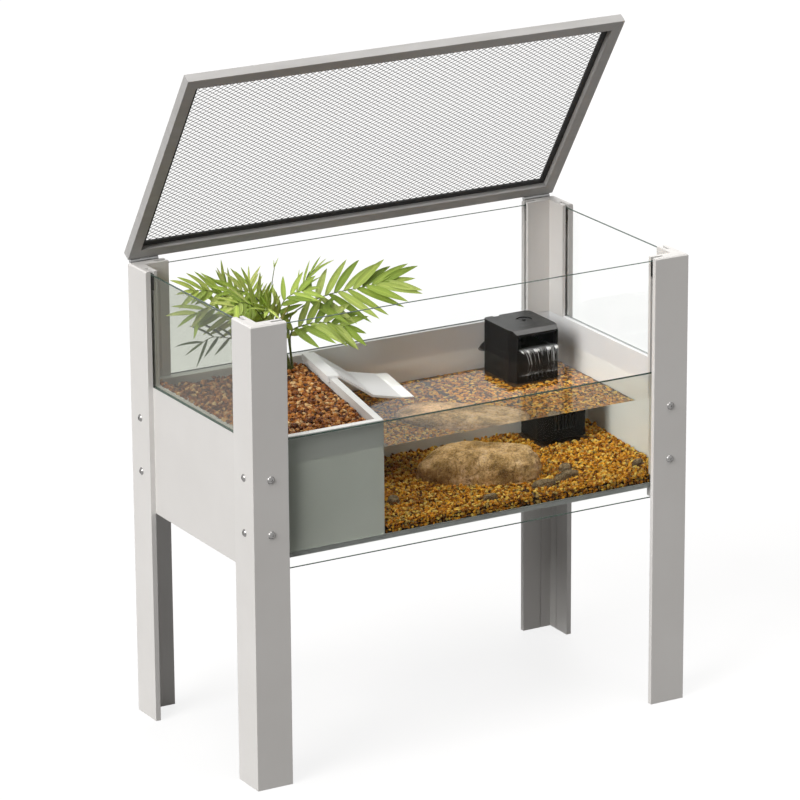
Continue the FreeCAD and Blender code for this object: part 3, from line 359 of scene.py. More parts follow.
def mesh_of(name, points, faces, materials, indices=None, smooth=True):
    """A mesh of points and faces; indices give each face its material."""
    mesh = bpy.data.meshes.new(name)
    mesh.from_pydata([tuple(p) for p in points], [], faces)
    for material in materials:
        mesh.materials.append(material)
    if indices:
        mesh.polygons.foreach_set("material_index", indices)
    mesh.polygons.foreach_set("use_smooth", [smooth] * len(mesh.polygons))
    mesh.update()
    return mesh


def mesh_from(bm, name, materials):
    """A mesh of a bmesh, which is freed."""
    mesh = bpy.data.meshes.new(name)
    bm.to_mesh(mesh)
    bm.free()
    for material in materials:
        mesh.materials.append(material)
    return mesh


def heading(line, i):
    """The way a line of points runs at one of them."""
    return line[min(i + 1, len(line) - 1)] - line[max(i - 1, 0)]


def ring(centre, one, two, count=6):
    """Points round an ellipse with the given half axes."""
    turns = [math.tau * k / count for k in range(count)]
    return [centre + one * math.cos(turn) + two * math.sin(turn) for turn in turns]


def add_tube(points, faces, rings):
    """Adds a closed tube through rings that all have the same number of points."""
    around = len(rings[0])
    base = len(points)
    for loop in rings:
        points.extend(loop)
    for i in range(len(rings) - 1):
        for k in range(around):
            one = base + i * around + k
            two = base + i * around + (k + 1) % around
            faces.append([one, two, two + around, one + around])
    last = base + (len(rings) - 1) * around
    faces.append([base + k for k in reversed(range(around))])
    faces.append([last + k for k in range(around)])


def prism(plan, bottom, tops):
    """Points and faces of a block over a plan, with a top height for each corner; its top face is last."""
    points = []
    faces = []
    lower = [at(x, y, bottom) for x, y in plan]
    upper = [at(x, y, z) for (x, y), z in zip(plan, tops)]
    add_tube(points, faces, [lower, upper])
    return points, faces


def join(first, second):
    """Points and faces of two meshes as one."""
    points, faces = first
    more_points, more_faces = second
    base = len(points)
    return points + more_points, faces + [[base + i for i in face] for face in more_faces]


# Glass panes

PANE_BEVEL = 0.5


def glass_face(name, tint, shine, lamp_share, strip_top=None, strip_tint=None):
    """Glass seen straight through, with a mirror share that grows at a slant.

    Below strip_top the glass has a tint of its own.
    """
    material, tree = new_material(name)
    roughness = spread(tree, clouds(tree, 5.0, 3.0, 0.6), 0.01, 0.05)
    mirror = add(tree, "ShaderNodeBsdfGlossy", Color=WHITE, Roughness=roughness)
    paler = [min(1.0, value * 1.02) for value in tint]
    veil = ramp(tree, clouds(tree, 9.0, 4.0, 0.6), [(0.3, tint), (0.7, paler)])
    if strip_top:
        height = component(tree, object_place(tree), Z)
        above = spread(tree, height, 0.0, 1.0, (strip_top - 0.4) * MM, (strip_top + 0.4) * MM)
        veil = blend(tree, above, (*strip_tint, 1.0), veil)
    through = add(tree, "ShaderNodeBsdfTransparent", Color=veil)
    slant = tree.nodes.new("ShaderNodeLayerWeight").outputs["Facing"]
    share = ramp(tree, slant, [
        (0.0, grey(0.0)), (0.3, grey(0.004)), (0.6, grey(0.1 * shine)), (1.0, grey(0.9))])
    seen = mix_shaders(tree, share, through, mirror)
    finish_material(tree, let_lamps_through(tree, seen, grey(lamp_share)))
    return material


def make_panes():
    clear = glass_face("pane_clear", (0.985, 0.992, 0.987), 0.6, 0.985)
    # The lower pane's grey tint above the tub floor is a little the glass's own tint and mostly painted shade over
    # what lies behind it. It dims lamplight too; below the floor's top it is clear
    lower = glass_face("pane_lower", (0.81, 0.83, 0.81), 0.8, 0.84, FLOOR_TOP - 0.5, (0.985, 0.99, 0.985))
    # The left pane's grey tint is a painted reflection of dim surroundings, with a dark green band along its
    # bottom
    tinted_strip_top = side_of("left_glass", LOW, Z) + 1.7
    reflection_tinted = glass_face("pane_painted_reflection", (0.72, 0.735, 0.69), 0.8, 0.96, tinted_strip_top, (0.05, 0.13, 0.09))
    edge = surface("pane_edge", (0.025, 0.055, 0.043), (0.07, 0.115, 0.092), 18.0, (0.08, 0.2), 300.0, 0.05)
    panes = {"front_glass": clear, "back_glass": clear, "right_glass": clear, "left_glass": reflection_tinted,
             "front_tub_glass": lower}
    for node, face in panes.items():
        low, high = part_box(node)
        size = high - low
        thin = list(size).index(min(size))
        bm = bmesh.new()
        bmesh.ops.create_cube(bm, size=1.0)
        place = Matrix.Translation((low + high) / 2) @ Matrix.Diagonal((*size, 1.0))
        bmesh.ops.transform(bm, matrix=place, verts=bm.verts)
        bmesh.ops.bevel(bm, geom=bm.edges[:], offset=PANE_BEVEL * MM, segments=2, affect="EDGES", profile=0.5)
        for f in bm.faces:
            f.material_index = 0 if abs(f.normal[thin]) > 0.99 else 1
        mesh = mesh_from(bm, node + "_pane", [face, edge])
        new_piece(node + "_pane", mesh, "stand", "clear_glass", node)


# Water


def water_material(name, bounce):
    """Clear water; bounce is the mirror share of a face seen straight on."""
    material, tree = new_material(name)
    chop = bump(tree, clouds(tree, 90.0, 2.0, 0.5), 0.25, 0.3)
    swell = bump(tree, clouds(tree, 26.0, 2.0, 0.5), 0.3, 0.6, chop)
    body = add(tree, "ShaderNodeBsdfPrincipled", Base_Color=(0.98, 0.985, 0.955, 1.0), Roughness=0.0,
               IOR=1.333, Transmission_Weight=1.0, Specular_Tint=(*grey(bounce), 1.0), Normal=swell)
    finish_material(tree, let_lamps_through(tree, body, (0.97, 0.98, 0.95)))
    return material


def make_water():
    """The tub's water, sunk a little into the walls so that no gap shows, with an arm before the planter."""
    sink = 0.2
    left = -POST_X + 2.0
    front = PANE_Y + 0.1
    arm_back = PLANTER_FRONT + sink
    post_x = POST_X + sink
    post_y = POST_Y + sink
    wall_x = WALL_X + sink
    wall_y = WALL_Y + sink
    plan = [
        (left, front), (post_x, front), (post_x, post_y), (wall_x, post_y), (wall_x, wall_y),
        (slant_x(WALL_Y) - sink, wall_y), (slant_x(arm_back) - sink, arm_back), (left, arm_back),
    ]
    points, faces = prism(plan, FLOOR_TOP + sink, [WATER_LEVEL] * len(plan))
    waters = [water_material("water_against_glass", 0.0), water_material("water_surface", 1.0)]
    indices = [0] * (len(faces) - 1) + [1]
    mesh = mesh_of("tank_water", points, faces, waters, indices, smooth=False)
    new_piece("tank_water", mesh, "stand", None)


def fall_material():
    """White water, brighter where it is full of air."""
    material, tree = new_material("falling_water")
    froth = clouds(tree, 700.0, 3.0, 0.6)
    colour = ramp(tree, froth, [(0.35, (0.62, 0.64, 0.65)), (0.6, (0.93, 0.94, 0.94))])
    finish_principled(tree, colour, 0.12, bump(tree, froth, 0.4, 0.3))
    return material


def fall_place(start, sway, fall):
    """A place in the falling water, by its start across the lip and its share of the way down.

    The water runs forward off the lip, bends down, and narrows and sways a little on its way.
    """
    low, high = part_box("waterfall_lip")
    top = high.z + 0.9 * MM
    across = (high.x - low.x) * start * (0.96 - 0.14 * fall)
    x = (low.x + high.x) / 2 + across + 0.8 * MM * math.sin(5.0 * fall + sway) * fall
    y = low.y + (4.0 - 10.0 * fall ** 0.6 - 4.0 * fall) * MM
    return Vector((x, y, top - (top - WATER_LEVEL * MM) * fall ** 1.7))


def make_waterfall():
    """Torn water over the lip: broad scraps that run out into thin strands down to the surface."""
    rng = random.Random(31)
    across = Vector((1.0, 0.0, 0.0))
    strands = 26
    steps = 16
    points = []
    faces = []
    for n in range(strands):
        start = (n + rng.uniform(0.2, 0.8)) / strands - 0.5
        reach = rng.choice((0.42, 0.5, 0.65, 1.0, 1.0))
        scrap = rng.choice((0.25, 0.3, 1.3, 1.7)) * MM
        thin = rng.uniform(0.1, 0.22) * MM
        sway = rng.uniform(-1.0, 1.0)
        falls = [reach * j / steps for j in range(steps + 1)]
        line = [fall_place(start, sway, fall) for fall in falls]
        rings = []
        for j, fall in enumerate(falls):
            bulge = math.exp(-((fall - 0.25) / 0.12) ** 2)
            half = max(thin, scrap * bulge) * (1.0 - 0.5 * (j / steps) ** 3)
            out = heading(line, j).cross(across).normalized()
            rings.append(ring(line[j], across * half, out * min(half, 0.5 * MM)))
        add_tube(points, faces, rings)
    mesh = mesh_of("waterfall", points, faces, [fall_material()])
    new_piece("waterfall", mesh, "stand", None)


# Gravel

GOLDEN_SIZE = 5.6
RED_SIZE = 6.8
# Distance between the rows of a triangular grid, as a share of the distance in a row
ROW_SHARE = 0.866


def pebble_forms(rng, count, corners):
    """Small broken stones of about unit size, as lists of points and faces."""
    forms = []
    for _ in range(count):
        bm = bmesh.new()
        for _ in range(corners):
            way = Vector((rng.gauss(0, 1), rng.gauss(0, 1), rng.gauss(0, 1))).normalized()
            bm.verts.new(way * rng.uniform(0.44, 0.58))
        hull = bmesh.ops.convex_hull(bm, input=bm.verts)
        spare = {v for v in hull["geom_interior"] + hull["geom_unused"] if isinstance(v, bmesh.types.BMVert)}
        bmesh.ops.delete(bm, geom=list(spare), context="VERTS")
        bmesh.ops.recalc_face_normals(bm, faces=bm.faces)
        bm.verts.index_update()
        forms.append(([v.co.copy() for v in bm.verts], [[v.index for v in f.verts] for f in bm.faces]))
        bm.free()
    return forms


def scatter(rng, forms, places):
    """Points and faces of one stone per place; a place is a centre in metres and a size in metres."""
    points = []
    faces = []
    for centre, size in places:
        form_points, form_faces = forms[rng.randrange(len(forms))]
        length = size * rng.uniform(0.95, 1.45)
        width = size * rng.uniform(0.75, 1.05)
        height = size * rng.uniform(0.55, 0.85)
        turn = Euler((rng.gauss(0, 0.45), rng.gauss(0, 0.45), rng.uniform(0, math.tau)))
        scale = Matrix.Diagonal((length, width, height, 1.0))
        matrix = Matrix.Translation(centre) @ turn.to_matrix().to_4x4() @ scale
        base = len(points)
        points.extend(matrix @ p for p in form_points)
        faces.extend([base + i for i in f] for f in form_faces)
    return points, faces


def gravel_material(name, stops, speck):
    """Stones that each have their own colour, with a mottled skin."""
    material, tree = new_material(name)
    own = ramp(tree, tree.nodes.new("ShaderNodeNewGeometry").outputs["Random Per Island"], stops)
    mottle = ramp(tree, clouds(tree, speck, 4.0, 0.7), [(0.3, (0.62, 0.58, 0.55)), (0.7, (1.12, 1.1, 1.06))])
    colour = blend(tree, 1.0, own, mottle, "MULTIPLY")
    roughness = spread(tree, clouds(tree, speck * 0.6, 2.0), 0.35, 0.65)
    skin = bump(tree, clouds(tree, speck * 2.2, 3.0, 0.7), 0.8, 0.4)
    finish_principled(tree, colour, roughness, skin, Specular_IOR_Level=0.2)
    return material


def inside(plan, x, y, margin):
    """True if a point lies in a convex plan, given anticlockwise, at least a margin from every side."""
    for (x0, y0), (x1, y1) in zip(plan, plan[1:] + plan[:1]):
        length = math.hypot(x1 - x0, y1 - y0)
        if ((x1 - x0) * (y - y0) - (y1 - y0) * (x - x0)) / length < margin:
            return False
    return True


def grid_spots(rng, plan, step, margin, top, sink, uneven):
    """Jittered spots over a plan, about as far as sink under its top."""
    spots = []
    low_x = min(x for x, y in plan)
    high_x = max(x for x, y in plan)
    low_y = min(y for x, y in plan)
    high_y = max(y for x, y in plan)
    rows = int((high_y - low_y) / (step * ROW_SHARE)) + 1
    columns = int((high_x - low_x) / step) + 2
    for j in range(rows):
        for i in range(columns):
            x = low_x + (i + 0.5 * (j % 2)) * step + rng.gauss(0, step * 0.2)
            y = low_y + j * step * ROW_SHARE + rng.gauss(0, step * 0.2)
            if inside(plan, x, y, margin):
                spots.append((x, y, top(y) - sink + rng.gauss(0, uneven)))
    return spots


def heap(rng, spots, one_in, shift, rise):
    """Spots for more stones on top of one in so many of the given spots."""
    below = rng.sample(spots, len(spots) // one_in)
    return [(x + rng.uniform(-shift, shift), y + rng.uniform(-shift, shift), z + rng.uniform(*rise))
            for x, y, z in below]


def gravel_piece(name, body, slot, node, stones, bed, materials):
    """A piece of loose stones and the plain bed under them."""
    points, faces = join(stones, bed)
    indices = [0] * len(stones[1]) + [1] * len(bed[1])
    mesh = mesh_of(name, points, faces, materials, indices, smooth=False)
    new_piece(name, mesh, body, slot, node)


def golden_materials():
    stones = gravel_material("gravel_golden", [
        (0.0, (0.13, 0.045, 0.003)), (0.14, (0.40, 0.138, 0.006)), (0.4, (0.67, 0.262, 0.012)),
        (0.68, (0.90, 0.44, 0.03)), (0.88, (0.97, 0.69, 0.155)), (1.0, (0.45, 0.29, 0.1))], 700.0)
    # The bed under the stones is painted dark: painted shade for the gaps between them
    bed = surface("gravel_golden_bed_painted_shade", (0.03, 0.013, 0.002), (0.09, 0.042, 0.008), 260.0, (0.7, 0.9),
                  500.0, 1.0)
    return [stones, bed]


def clear_of_pieces(x, y):
    """True where no corner post and no filter stands."""
    at_post = x > POST_X - 3.0 and y < POST_Y + 3.0
    at_pump = PUMP_LEFT - 4.0 < x < PUMP_RIGHT + 4.0 and y > PUMP_FRONT - 4.0
    return not at_post and not at_pump


def pane_spots(rng, left, right):
    """Three layers of spots along the lower front pane."""
    spots = []
    x = left + 3.0
    while x < right - 2.5:
        for layer in range(3):
            level = FLOOR_TOP + 2.2 + 3.4 * layer
            spots.append((x + rng.uniform(-1, 1), PANE_Y + 3.3 + rng.uniform(0, 0.5),
                          level + rng.uniform(-0.7, 0.7)))
        x += GOLDEN_SIZE * 0.78
    return spots


def make_tub_gravel():
    """The golden bed, in a left and a right piece."""
    rng = random.Random(11)
    materials = golden_materials()
    forms = pebble_forms(rng, 24, 15)
    front = PANE_Y + 0.3
    back = WALL_Y - 0.3
    bed_front = front + 4.5
    seam = (92.0, 92.0)
    slant = (slant_x(PANE_Y) + 0.6, slant_x(WALL_Y) + 0.6)
    wall = (WALL_X - 0.3, WALL_X - 0.3)
    for side, left, right in (("left", slant, seam), ("right", seam, wall)):
        plan = [(left[0], front), (right[0], front), (right[1], back), (left[1], back)]
        spots = grid_spots(rng, plan, GOLDEN_SIZE * 0.86, 2.6, gravel_top, 1.9, 0.8)
        spots += heap(rng, spots, 5, 2.0, (0.6, 1.6))
        spots += pane_spots(rng, left[0], min(right[0], POST_X))
        places = []
        for x, y, z in spots:
            if clear_of_pieces(x, y) and inside(plan, x, y, 2.4):
                places.append((at(x, y, z), GOLDEN_SIZE * rng.uniform(0.72, 1.12) * MM))
        bed_plan = [(left[0], bed_front), (right[0], bed_front)] + plan[2:]
        bed = prism(bed_plan, FLOOR_TOP + 0.1, [gravel_top(y) - 3.6 for x, y in bed_plan])
        stones = scatter(rng, forms, places)
        gravel_piece("tub_gravel_" + side, "stand", "gravel_golden", "tub_gravel", stones, bed, materials)


def red_materials():
    stones = gravel_material("gravel_red", [
        (0.0, (0.06, 0.017, 0.004)), (0.2, (0.22, 0.066, 0.012)), (0.5, (0.42, 0.148, 0.026)),
        (0.75, (0.62, 0.28, 0.066)), (0.9, (0.85, 0.60, 0.30)), (1.0, (0.22, 0.076, 0.024))], 520.0)
    # The bed under the stones is painted dark: painted shade for the gaps between them
    bed = surface("gravel_red_bed_painted_shade", (0.04, 0.016, 0.007), (0.12, 0.05, 0.02), 200.0, (0.7, 0.9), 400.0, 1.0)
    return [stones, bed]


def rim_places(rng):
    """Loose stones in two rows on the planter's left rim, up to the glass."""
    places = []
    rim_y = STEP_Y + 9.0
    while rim_y < PLANTER_BACK - 4.0:
        for inset in (2.3, 6.9):
            grain = RED_SIZE * rng.uniform(0.62, 0.9)
            x = PLANTER_LEFT + inset + rng.uniform(-0.7, 0.7)
            y = rim_y + rng.uniform(-1.2, 1.2)
            places.append((at(x, y, PLANTER_RIM + 0.34 * grain), grain * MM))
        rim_y += RED_SIZE * 0.72
    return places


def make_planter_gravel():
    """The planter's red stones, which stay low beside the ramp so that it can slide."""
    rng = random.Random(23)
    inset = 9.4
    left = PLANTER_LEFT + 9.1
    front = PLANTER_FRONT + inset
    back = PLANTER_BACK - inset
    slant = [(slant_x(round(front)) - inset, front), (slant_x(round(back)) - inset, back)]
    plan = [(left, front)] + slant + [(left, back)]
    bed_plan = [(left, STEP_Y), (STEP_X, STEP_Y), (STEP_X, front)] + slant + [(left, back)]
    forms = pebble_forms(rng, 24, 18)
    spots = grid_spots(rng, plan, RED_SIZE * 0.80, 3.4, soil_top, 2.6, 1.0)
    spots += heap(rng, spots, 4, 3.0, (0.8, 2.4))
    places = []
    for x, y, z in spots:
        in_step = x < STEP_X + 4.0 and y < STEP_Y + 4.0
        beside_ramp = x > slant_x(y) - inset - 10.0
        if not in_step and inside(plan, x, y, 3.8):
            height = min(z, SOIL - 3.0) if beside_ramp else z
            places.append((at(x, y, height), RED_SIZE * rng.uniform(0.7, 1.12) * MM))
    places += rim_places(rng)
    bed = prism(bed_plan, SOIL_BOTTOM + 0.2, [SOIL - 4.5] * len(bed_plan))
    stones = scatter(rng, forms, places)
    gravel_piece("planter_stones", "planter", "gravel_red", "planter_gravel", stones, bed, red_materials())


# Boulder and small stones

BOULDER_SIZE = (172.0, 84.0, 92.0)
BOULDER_CROWN = 44.0
BOULDER_TURN = -38.0
BOULDER_FROM_PANE = 124.3
BOULDER_LEFT_OF_MIDDLE = 33.0

# Share of the way from planter to right wall, distance from the lower pane, length, width, crown, turn
SMALL_STONES = (
    (0.667, 49.3, 44.0, 15.0, 8.0, 18.0),
    (0.574, 34.3, 34.0, 17.0, 8.0, -8.0),
    (0.693, 80.3, 26.0, 18.0, 9.0, 60.0),
    (0.376, 24.3, 22.0, 13.0, 6.0, 5.0),
    (0.930, 50.3, 20.0, 14.0, 6.0, 40.0),
    (0.0735, 86.3, 26.0, 16.0, 7.0, 75.0),
)


def stone_mesh(name, size, centre, turn, seed, level, rough, material):
    """A water-worn stone: a blunt ellipsoid whose skin is pressed in and out by soft lumps."""
    blunt = 2.7
    bm = bmesh.new()
    bmesh.ops.create_icosphere(bm, subdivisions=level, radius=0.5)
    shift = Vector((seed * 7.1, seed * 3.3, seed * 5.7))
    for v in bm.verts:
        way = v.co.normalized()
        radius = 0.5 * sum(abs(part) ** blunt for part in way) ** (-1 / blunt)
        lumps = noise.fractal(way * 1.3 + shift, 0.9, 2.1, 4)
        fine = noise.fractal(way * 7.0 + shift, 0.75, 2.0, 4)
        v.co = way * (radius * (1.0 + rough * (0.085 * lumps - 0.05 + 0.02 * fine)))
    scale = Matrix.Diagonal((*(Vector(size) * MM), 1.0))
    place = Matrix.Translation(centre) @ Matrix.Rotation(math.radians(turn), 4, "Z") @ scale
    bmesh.ops.transform(bm, matrix=place, verts=bm.verts)
    for f in bm.faces:
        f.smooth = True
    return mesh_from(bm, name, [material])


def stone_material(name, stops, patch, vein, pits):
    """Stone with broad patches, dark grains, blotches and fine cracks."""
    material, tree = new_material(name)
    own = ramp(tree, clouds(tree, patch, 6.0, 0.7), stops)
    speck = ramp(tree, clouds(tree, 420.0, 5.0, 0.8), [
        (0.36, (0.30, 0.27, 0.25)), (0.5, (0.95, 0.93, 0.9)), (0.66, (1.2, 1.18, 1.15))])
    blotch = ramp(tree, clouds(tree, 130.0, 6.0, 0.75), [
        (0.40, (0.42, 0.38, 0.34)), (0.47, (0.9, 0.88, 0.85)), (0.62, grey(1.12))])
    cells = add(tree, "ShaderNodeTexVoronoi", {"feature": "DISTANCE_TO_EDGE"}, Vector=object_place(tree),
                Scale=vein, Detail=2.0, Randomness=1.0)
    crack = spread(tree, cells.outputs["Distance"], 0.0, 1.0, 0.0, 0.05)
    lines = ramp(tree, crack, [(0.0, (0.5, 0.46, 0.42)), (0.5, grey(1.0))])
    colour = own
    for share, layer in ((0.85, speck), (0.7, blotch), (0.7, lines)):
        colour = blend(tree, share, colour, layer, "MULTIPLY")
    roughness = spread(tree, clouds(tree, 60.0), 0.45, 0.75)
    lumps = bump(tree, clouds(tree, vein * 1.6, 5.0, 0.7), 0.8, 4.0)
    split = bump(tree, crack, 0.35, 1.2, lumps)
    skin = bump(tree, clouds(tree, pits, 4.0, 0.75), 0.8, 0.8, split)
    finish_principled(tree, colour, roughness, skin, Specular_IOR_Level=0.2)
    return material


def make_boulder():
    pale = stone_material("boulder_stone", [
        (0.30, (0.16, 0.095, 0.033)), (0.43, (0.44, 0.262, 0.10)), (0.54, (0.72, 0.46, 0.22)),
        (0.68, (0.88, 0.62, 0.41))], 24.0, 30.0, 420.0)
    y = PANE_Y + BOULDER_FROM_PANE
    x = (slant_x(y) + WALL_X) / 2 - BOULDER_LEFT_OF_MIDDLE
    centre = at(x, y, gravel_top(y) + BOULDER_CROWN - BOULDER_SIZE[2] / 2)
    mesh = stone_mesh("boulder_rock", BOULDER_SIZE, centre, BOULDER_TURN, 3.0, 6, 1.0, pale)
    new_piece("boulder_rock", mesh, "stand", "boulder_stone", "boulder")


def make_small_stones():
    dark = stone_material("river_stone", [
        (0.25, (0.09, 0.062, 0.037)), (0.45, (0.19, 0.135, 0.082)), (0.6, (0.34, 0.24, 0.14)),
        (0.75, (0.25, 0.22, 0.15))], 60.0, 90.0, 700.0)
    for i, (share, depth, length, width, crown, turn) in enumerate(SMALL_STONES):
        y = PANE_Y + depth
        x = slant_x(y) + share * (WALL_X - slant_x(y))
        name = "river_stone_%d" % (i + 1)
        size = (length, width, 2 * crown)
        mesh = stone_mesh(name, size, at(x, y, gravel_top(y)), turn, 11.0 + i, 4, 1.4, dark)
        new_piece(name, mesh, "stand", "river_stone", "river_stones")


# Palm: every frond is a curved stalk with folded leaflets on both sides

CROWN_X = PLANTER_LEFT + 182.1
CROWN_Y = PLANTER_BACK - 31.0
STALK_STEPS = 40
STALK_THICK = 1.2
STALK_THIN = 0.45
LEAF_THICK = 0.3
# Material slots of the palm's mesh. The second slot is a paler copy of the leaf green, painted light on fronds
# that stand in shade, and the last is a darker copy, painted shade
GROWN, LIGHTENED, STEM, SHADED = range(4)

# Points of the stalk from the crown, then the share of the stalk before the first leaflet, pairs of leaflets,
# their length, width as a share of it, their angles to the stalk at the first and last pair, the way the
# blade faces, and its material
FRONDS = (
    (((-6, -3, 60), (11, -7, 79), (43, -12, 90), (83, -17, 94), (122, -21, 97)),
     0.46, 9, 54, 0.17, 58, 20, (-0.42, -0.80, 0.42), GROWN),
    (((-7, -8, 46), (5, -17, 58), (31, -24, 60), (57, -30, 52)),
     0.34, 8, 40, 0.23, 62, 32, (-0.40, -0.75, 0.52), GROWN),
    (((-6, 3, 66), (8, 5, 90), (26, 8, 109), (37, 9, 118)),
     0.70, 3, 32, 0.085, 26, 10, (-0.45, -0.70, 0.50), GROWN),
    (((-24, -9, 60), (-21, -13, 88), (-9, -17, 100), (6, -21, 104)),
     0.52, 6, 32, 0.20, 64, 34, (-0.50, -0.70, 0.50), GROWN),
    (((-24, 10, 64), (-17, 20, 101), (-11, 23, 126)),
     0.96, 1, 12, 0.10, 15, 10, (-0.50, -0.70, 0.50), LIGHTENED),
    (((-22, 4, 52), (-42, 14, 82), (-48, 18, 101), (-48, 20, 112)),
     0.62, 7, 32, 0.12, 66, 40, (-0.75, -0.35, 0.55), LIGHTENED),
    (((-35, 8, 56), (-63, 16, 85), (-78, 20, 105), (-84, 20, 116)),
     0.62, 7, 34, 0.12, 52, 22, (-0.20, -0.88, 0.42), LIGHTENED),
    (((-54, -5, 65), (-93, -12, 105), (-124, -18, 122), (-146, -22, 126)),
     0.50, 9, 40, 0.18, 60, 32, (-0.30, -0.62, 0.72), LIGHTENED),
    (((-51, -7, 52), (-90, -9, 83), (-122, -12, 98), (-142, -15, 94)),
     0.48, 8, 40, 0.17, 60, 34, (-0.60, -0.55, 0.58), LIGHTENED),
    (((-48, -11, 40), (-86, -19, 55), (-122, -27, 66), (-144, -33, 62)),
     0.46, 5, 38, 0.10, 58, 30, (-0.55, -0.60, 0.58), SHADED),
    (((-41, -19, 60), (-71, -35, 97), (-94, -48, 110), (-112, -58, 110)),
     0.52, 8, 36, 0.18, 60, 34, (-0.40, -0.65, 0.65), LIGHTENED),
    (((-32, -7, 58), (-53, -11, 98), (-75, -15, 113), (-95, -19, 116)),
     0.52, 9, 36, 0.16, 62, 34, (-0.35, -0.75, 0.56), LIGHTENED),
    (((-29, -11, 54), (-54, -23, 86), (-77, -35, 98), (-96, -45, 96)),
     0.50, 8, 38, 0.18, 60, 34, (-0.55, -0.60, 0.58), LIGHTENED),
    (((-27, -17, 52), (-46, -33, 82), (-58, -47, 96), (-66, -58, 98)),
     0.52, 8, 36, 0.18, 60, 34, (-0.30, -0.70, 0.65), LIGHTENED),
)


def smooth_line(corners, steps):
    """A soft line through the corners, with points at even distances."""
    ends = [corners[0] * 2 - corners[1]] + corners + [corners[-1] * 2 - corners[-2]]
    fine = []
    for a, b, c, d in zip(ends, ends[1:], ends[2:], ends[3:]):
        for i in range(16):
            t = i / 16
            square = (a * 2 - b * 5 + c * 4 - d) * t * t
            cube = (b * 3 - a - c * 3 + d) * t ** 3
            fine.append((b * 2 + (c - a) * t + square + cube) / 2)
    fine.append(corners[-1])
    run = [0.0]
    for a, b in zip(fine, fine[1:]):
        run.append(run[-1] + (b - a).length)
    line = []
    k = 0
    for i in range(steps + 1):
        want = run[-1] * i / steps
        while k < len(fine) - 2 and run[k + 1] < want:
            k += 1
        line.append(fine[k].lerp(fine[k + 1], (want - run[k]) / (run[k + 1] - run[k])))
    return line


def leaf_material(name, stops):
    """Leaflets that each have their own green, with a pale rib, fine veins and darker edges."""
    material, tree = new_material(name)
    own = ramp(tree, tree.nodes.new("ShaderNodeNewGeometry").outputs["Random Per Island"], stops)
    uv = add(tree, "ShaderNodeUVMap", {"uv_map": "leaf"}).outputs[0]
    bands = {"wave_type": "BANDS", "bands_direction": "Y", "wave_profile": "SIN"}
    wave = add(tree, "ShaderNodeTexWave", bands, Vector=uv, Scale=3.2, Distortion=0.6, Detail=2.0,
               Detail_Scale=2.0)
    vein = wave.outputs[1]
    veins = ramp(tree, vein, [(0.2, (0.86, 0.88, 0.82)), (0.8, (1.08, 1.06, 1.0))])
    edge_shade = (0.82, 0.86, 0.8)
    blade_shade = (0.98, 0.98, 0.95)
    rib = ramp(tree, component(tree, uv, Y), [
        (0.0, edge_shade), (0.46, blade_shade), (0.5, (1.35, 1.28, 1.3)), (0.54, blade_shade),
        (1.0, edge_shade)])
    colour = blend(tree, 1.0, blend(tree, 1.0, own, veins, "MULTIPLY"), rib, "MULTIPLY")
    roughness = spread(tree, clouds(tree, 90.0), 0.36, 0.55)
    finish_principled(tree, colour, roughness, bump(tree, vein, 0.5, 0.4), Specular_IOR_Level=0.35)
    return material


def palm_materials():
    grown = leaf_material("palm_leaf", [
        (0.0, (0.27, 0.41, 0.055)), (0.3, (0.44, 0.61, 0.105)), (0.65, (0.57, 0.73, 0.165)),
        (1.0, (0.71, 0.83, 0.28))])
    # A paler copy of the leaf green: painted light for fronds shaded by the others
    lightened = leaf_material("palm_leaf_lightened", [
        (0.0, (0.43, 0.60, 0.10)), (0.3, (0.65, 0.84, 0.17)), (0.65, (0.78, 0.91, 0.24)),
        (1.0, (0.86, 0.94, 0.36))])
    stem = surface("palm_stalk", (0.06, 0.10, 0.02), (0.22, 0.28, 0.07), 120.0, (0.4, 0.6), 700.0, 0.1)
    # A darker copy of the leaf green: painted shade for a frond in shade
    shaded = leaf_material("palm_leaf_shaded", [
        (0.0, (0.07, 0.11, 0.03)), (0.4, (0.12, 0.17, 0.05)), (1.0, (0.20, 0.26, 0.09))])
    return [grown, lightened, stem, shaded]


def add_leaflet(leaves, root, way, normal, ahead, length, width, droop):
    """Adds a thin folded pointed leaflet that hangs a little and bows towards the frond's tip.

    The leaves are points, faces and a texture place for each point.
    """
    points, faces, coords = leaves
    sections = 9
    skin = normal * (LEAF_THICK * MM)
    bow = ahead * 0.10 - Vector((0, 0, droop))
    base = len(points)
    for i in range(sections):
        s = i / sections
        middle = root + (way * s + bow * s * s) * length
        half = width * 0.5 * math.sin(math.pi * (0.05 + 0.95 * s) ** 0.78) ** 0.8
        cross = normal.cross(way + bow * 2 * s).normalized()
        lift = normal * (half * 0.3)
        for under in (Vector(), skin):
            for side in (-1.0, 0.0, 1.0):
                points.append(middle + cross * (half * side) + lift * abs(side) - under)
                coords.append((s, 0.5 + 0.5 * side))
    tip = len(points)
    points.append(root + (way + bow) * length)
    coords.append((1.0, 0.5))
    outline = (0, 3, 4, 5, 2, 1)
    for i in range(sections):
        for k in range(6):
            one = base + 6 * i + outline[k]
            two = base + 6 * i + outline[(k + 1) % 6]
            faces.append([one, two, tip] if i == sections - 1 else [one, two, two + 6, one + 6])
    faces.append([base, base + 1, base + 4, base + 3])
    faces.append([base + 1, base + 2, base + 5, base + 4])


def stalk_line(crown, stalk):
    """The line of a stalk from its foot, a little under the stones, to its tip."""
    foot = Vector((stalk[0][0] * 0.06, stalk[0][1] * 0.06, -3.0))
    return smooth_line([crown + Vector(p) * MM for p in (foot, *stalk)], STALK_STEPS)


def stalk_rings(line):
    """Rings round a stalk, which gets thinner towards its tip."""
    rings = []
    for i, place in enumerate(line):
        ahead = heading(line, i)
        side = ahead.cross(Vector((0.3, 1.0, 0.1))).normalized()
        up = ahead.cross(side).normalized()
        radius = (STALK_THICK + (STALK_THIN - STALK_THICK) * i / STALK_STEPS) * MM
        rings.append(ring(place, side * radius, up * radius))
    return rings


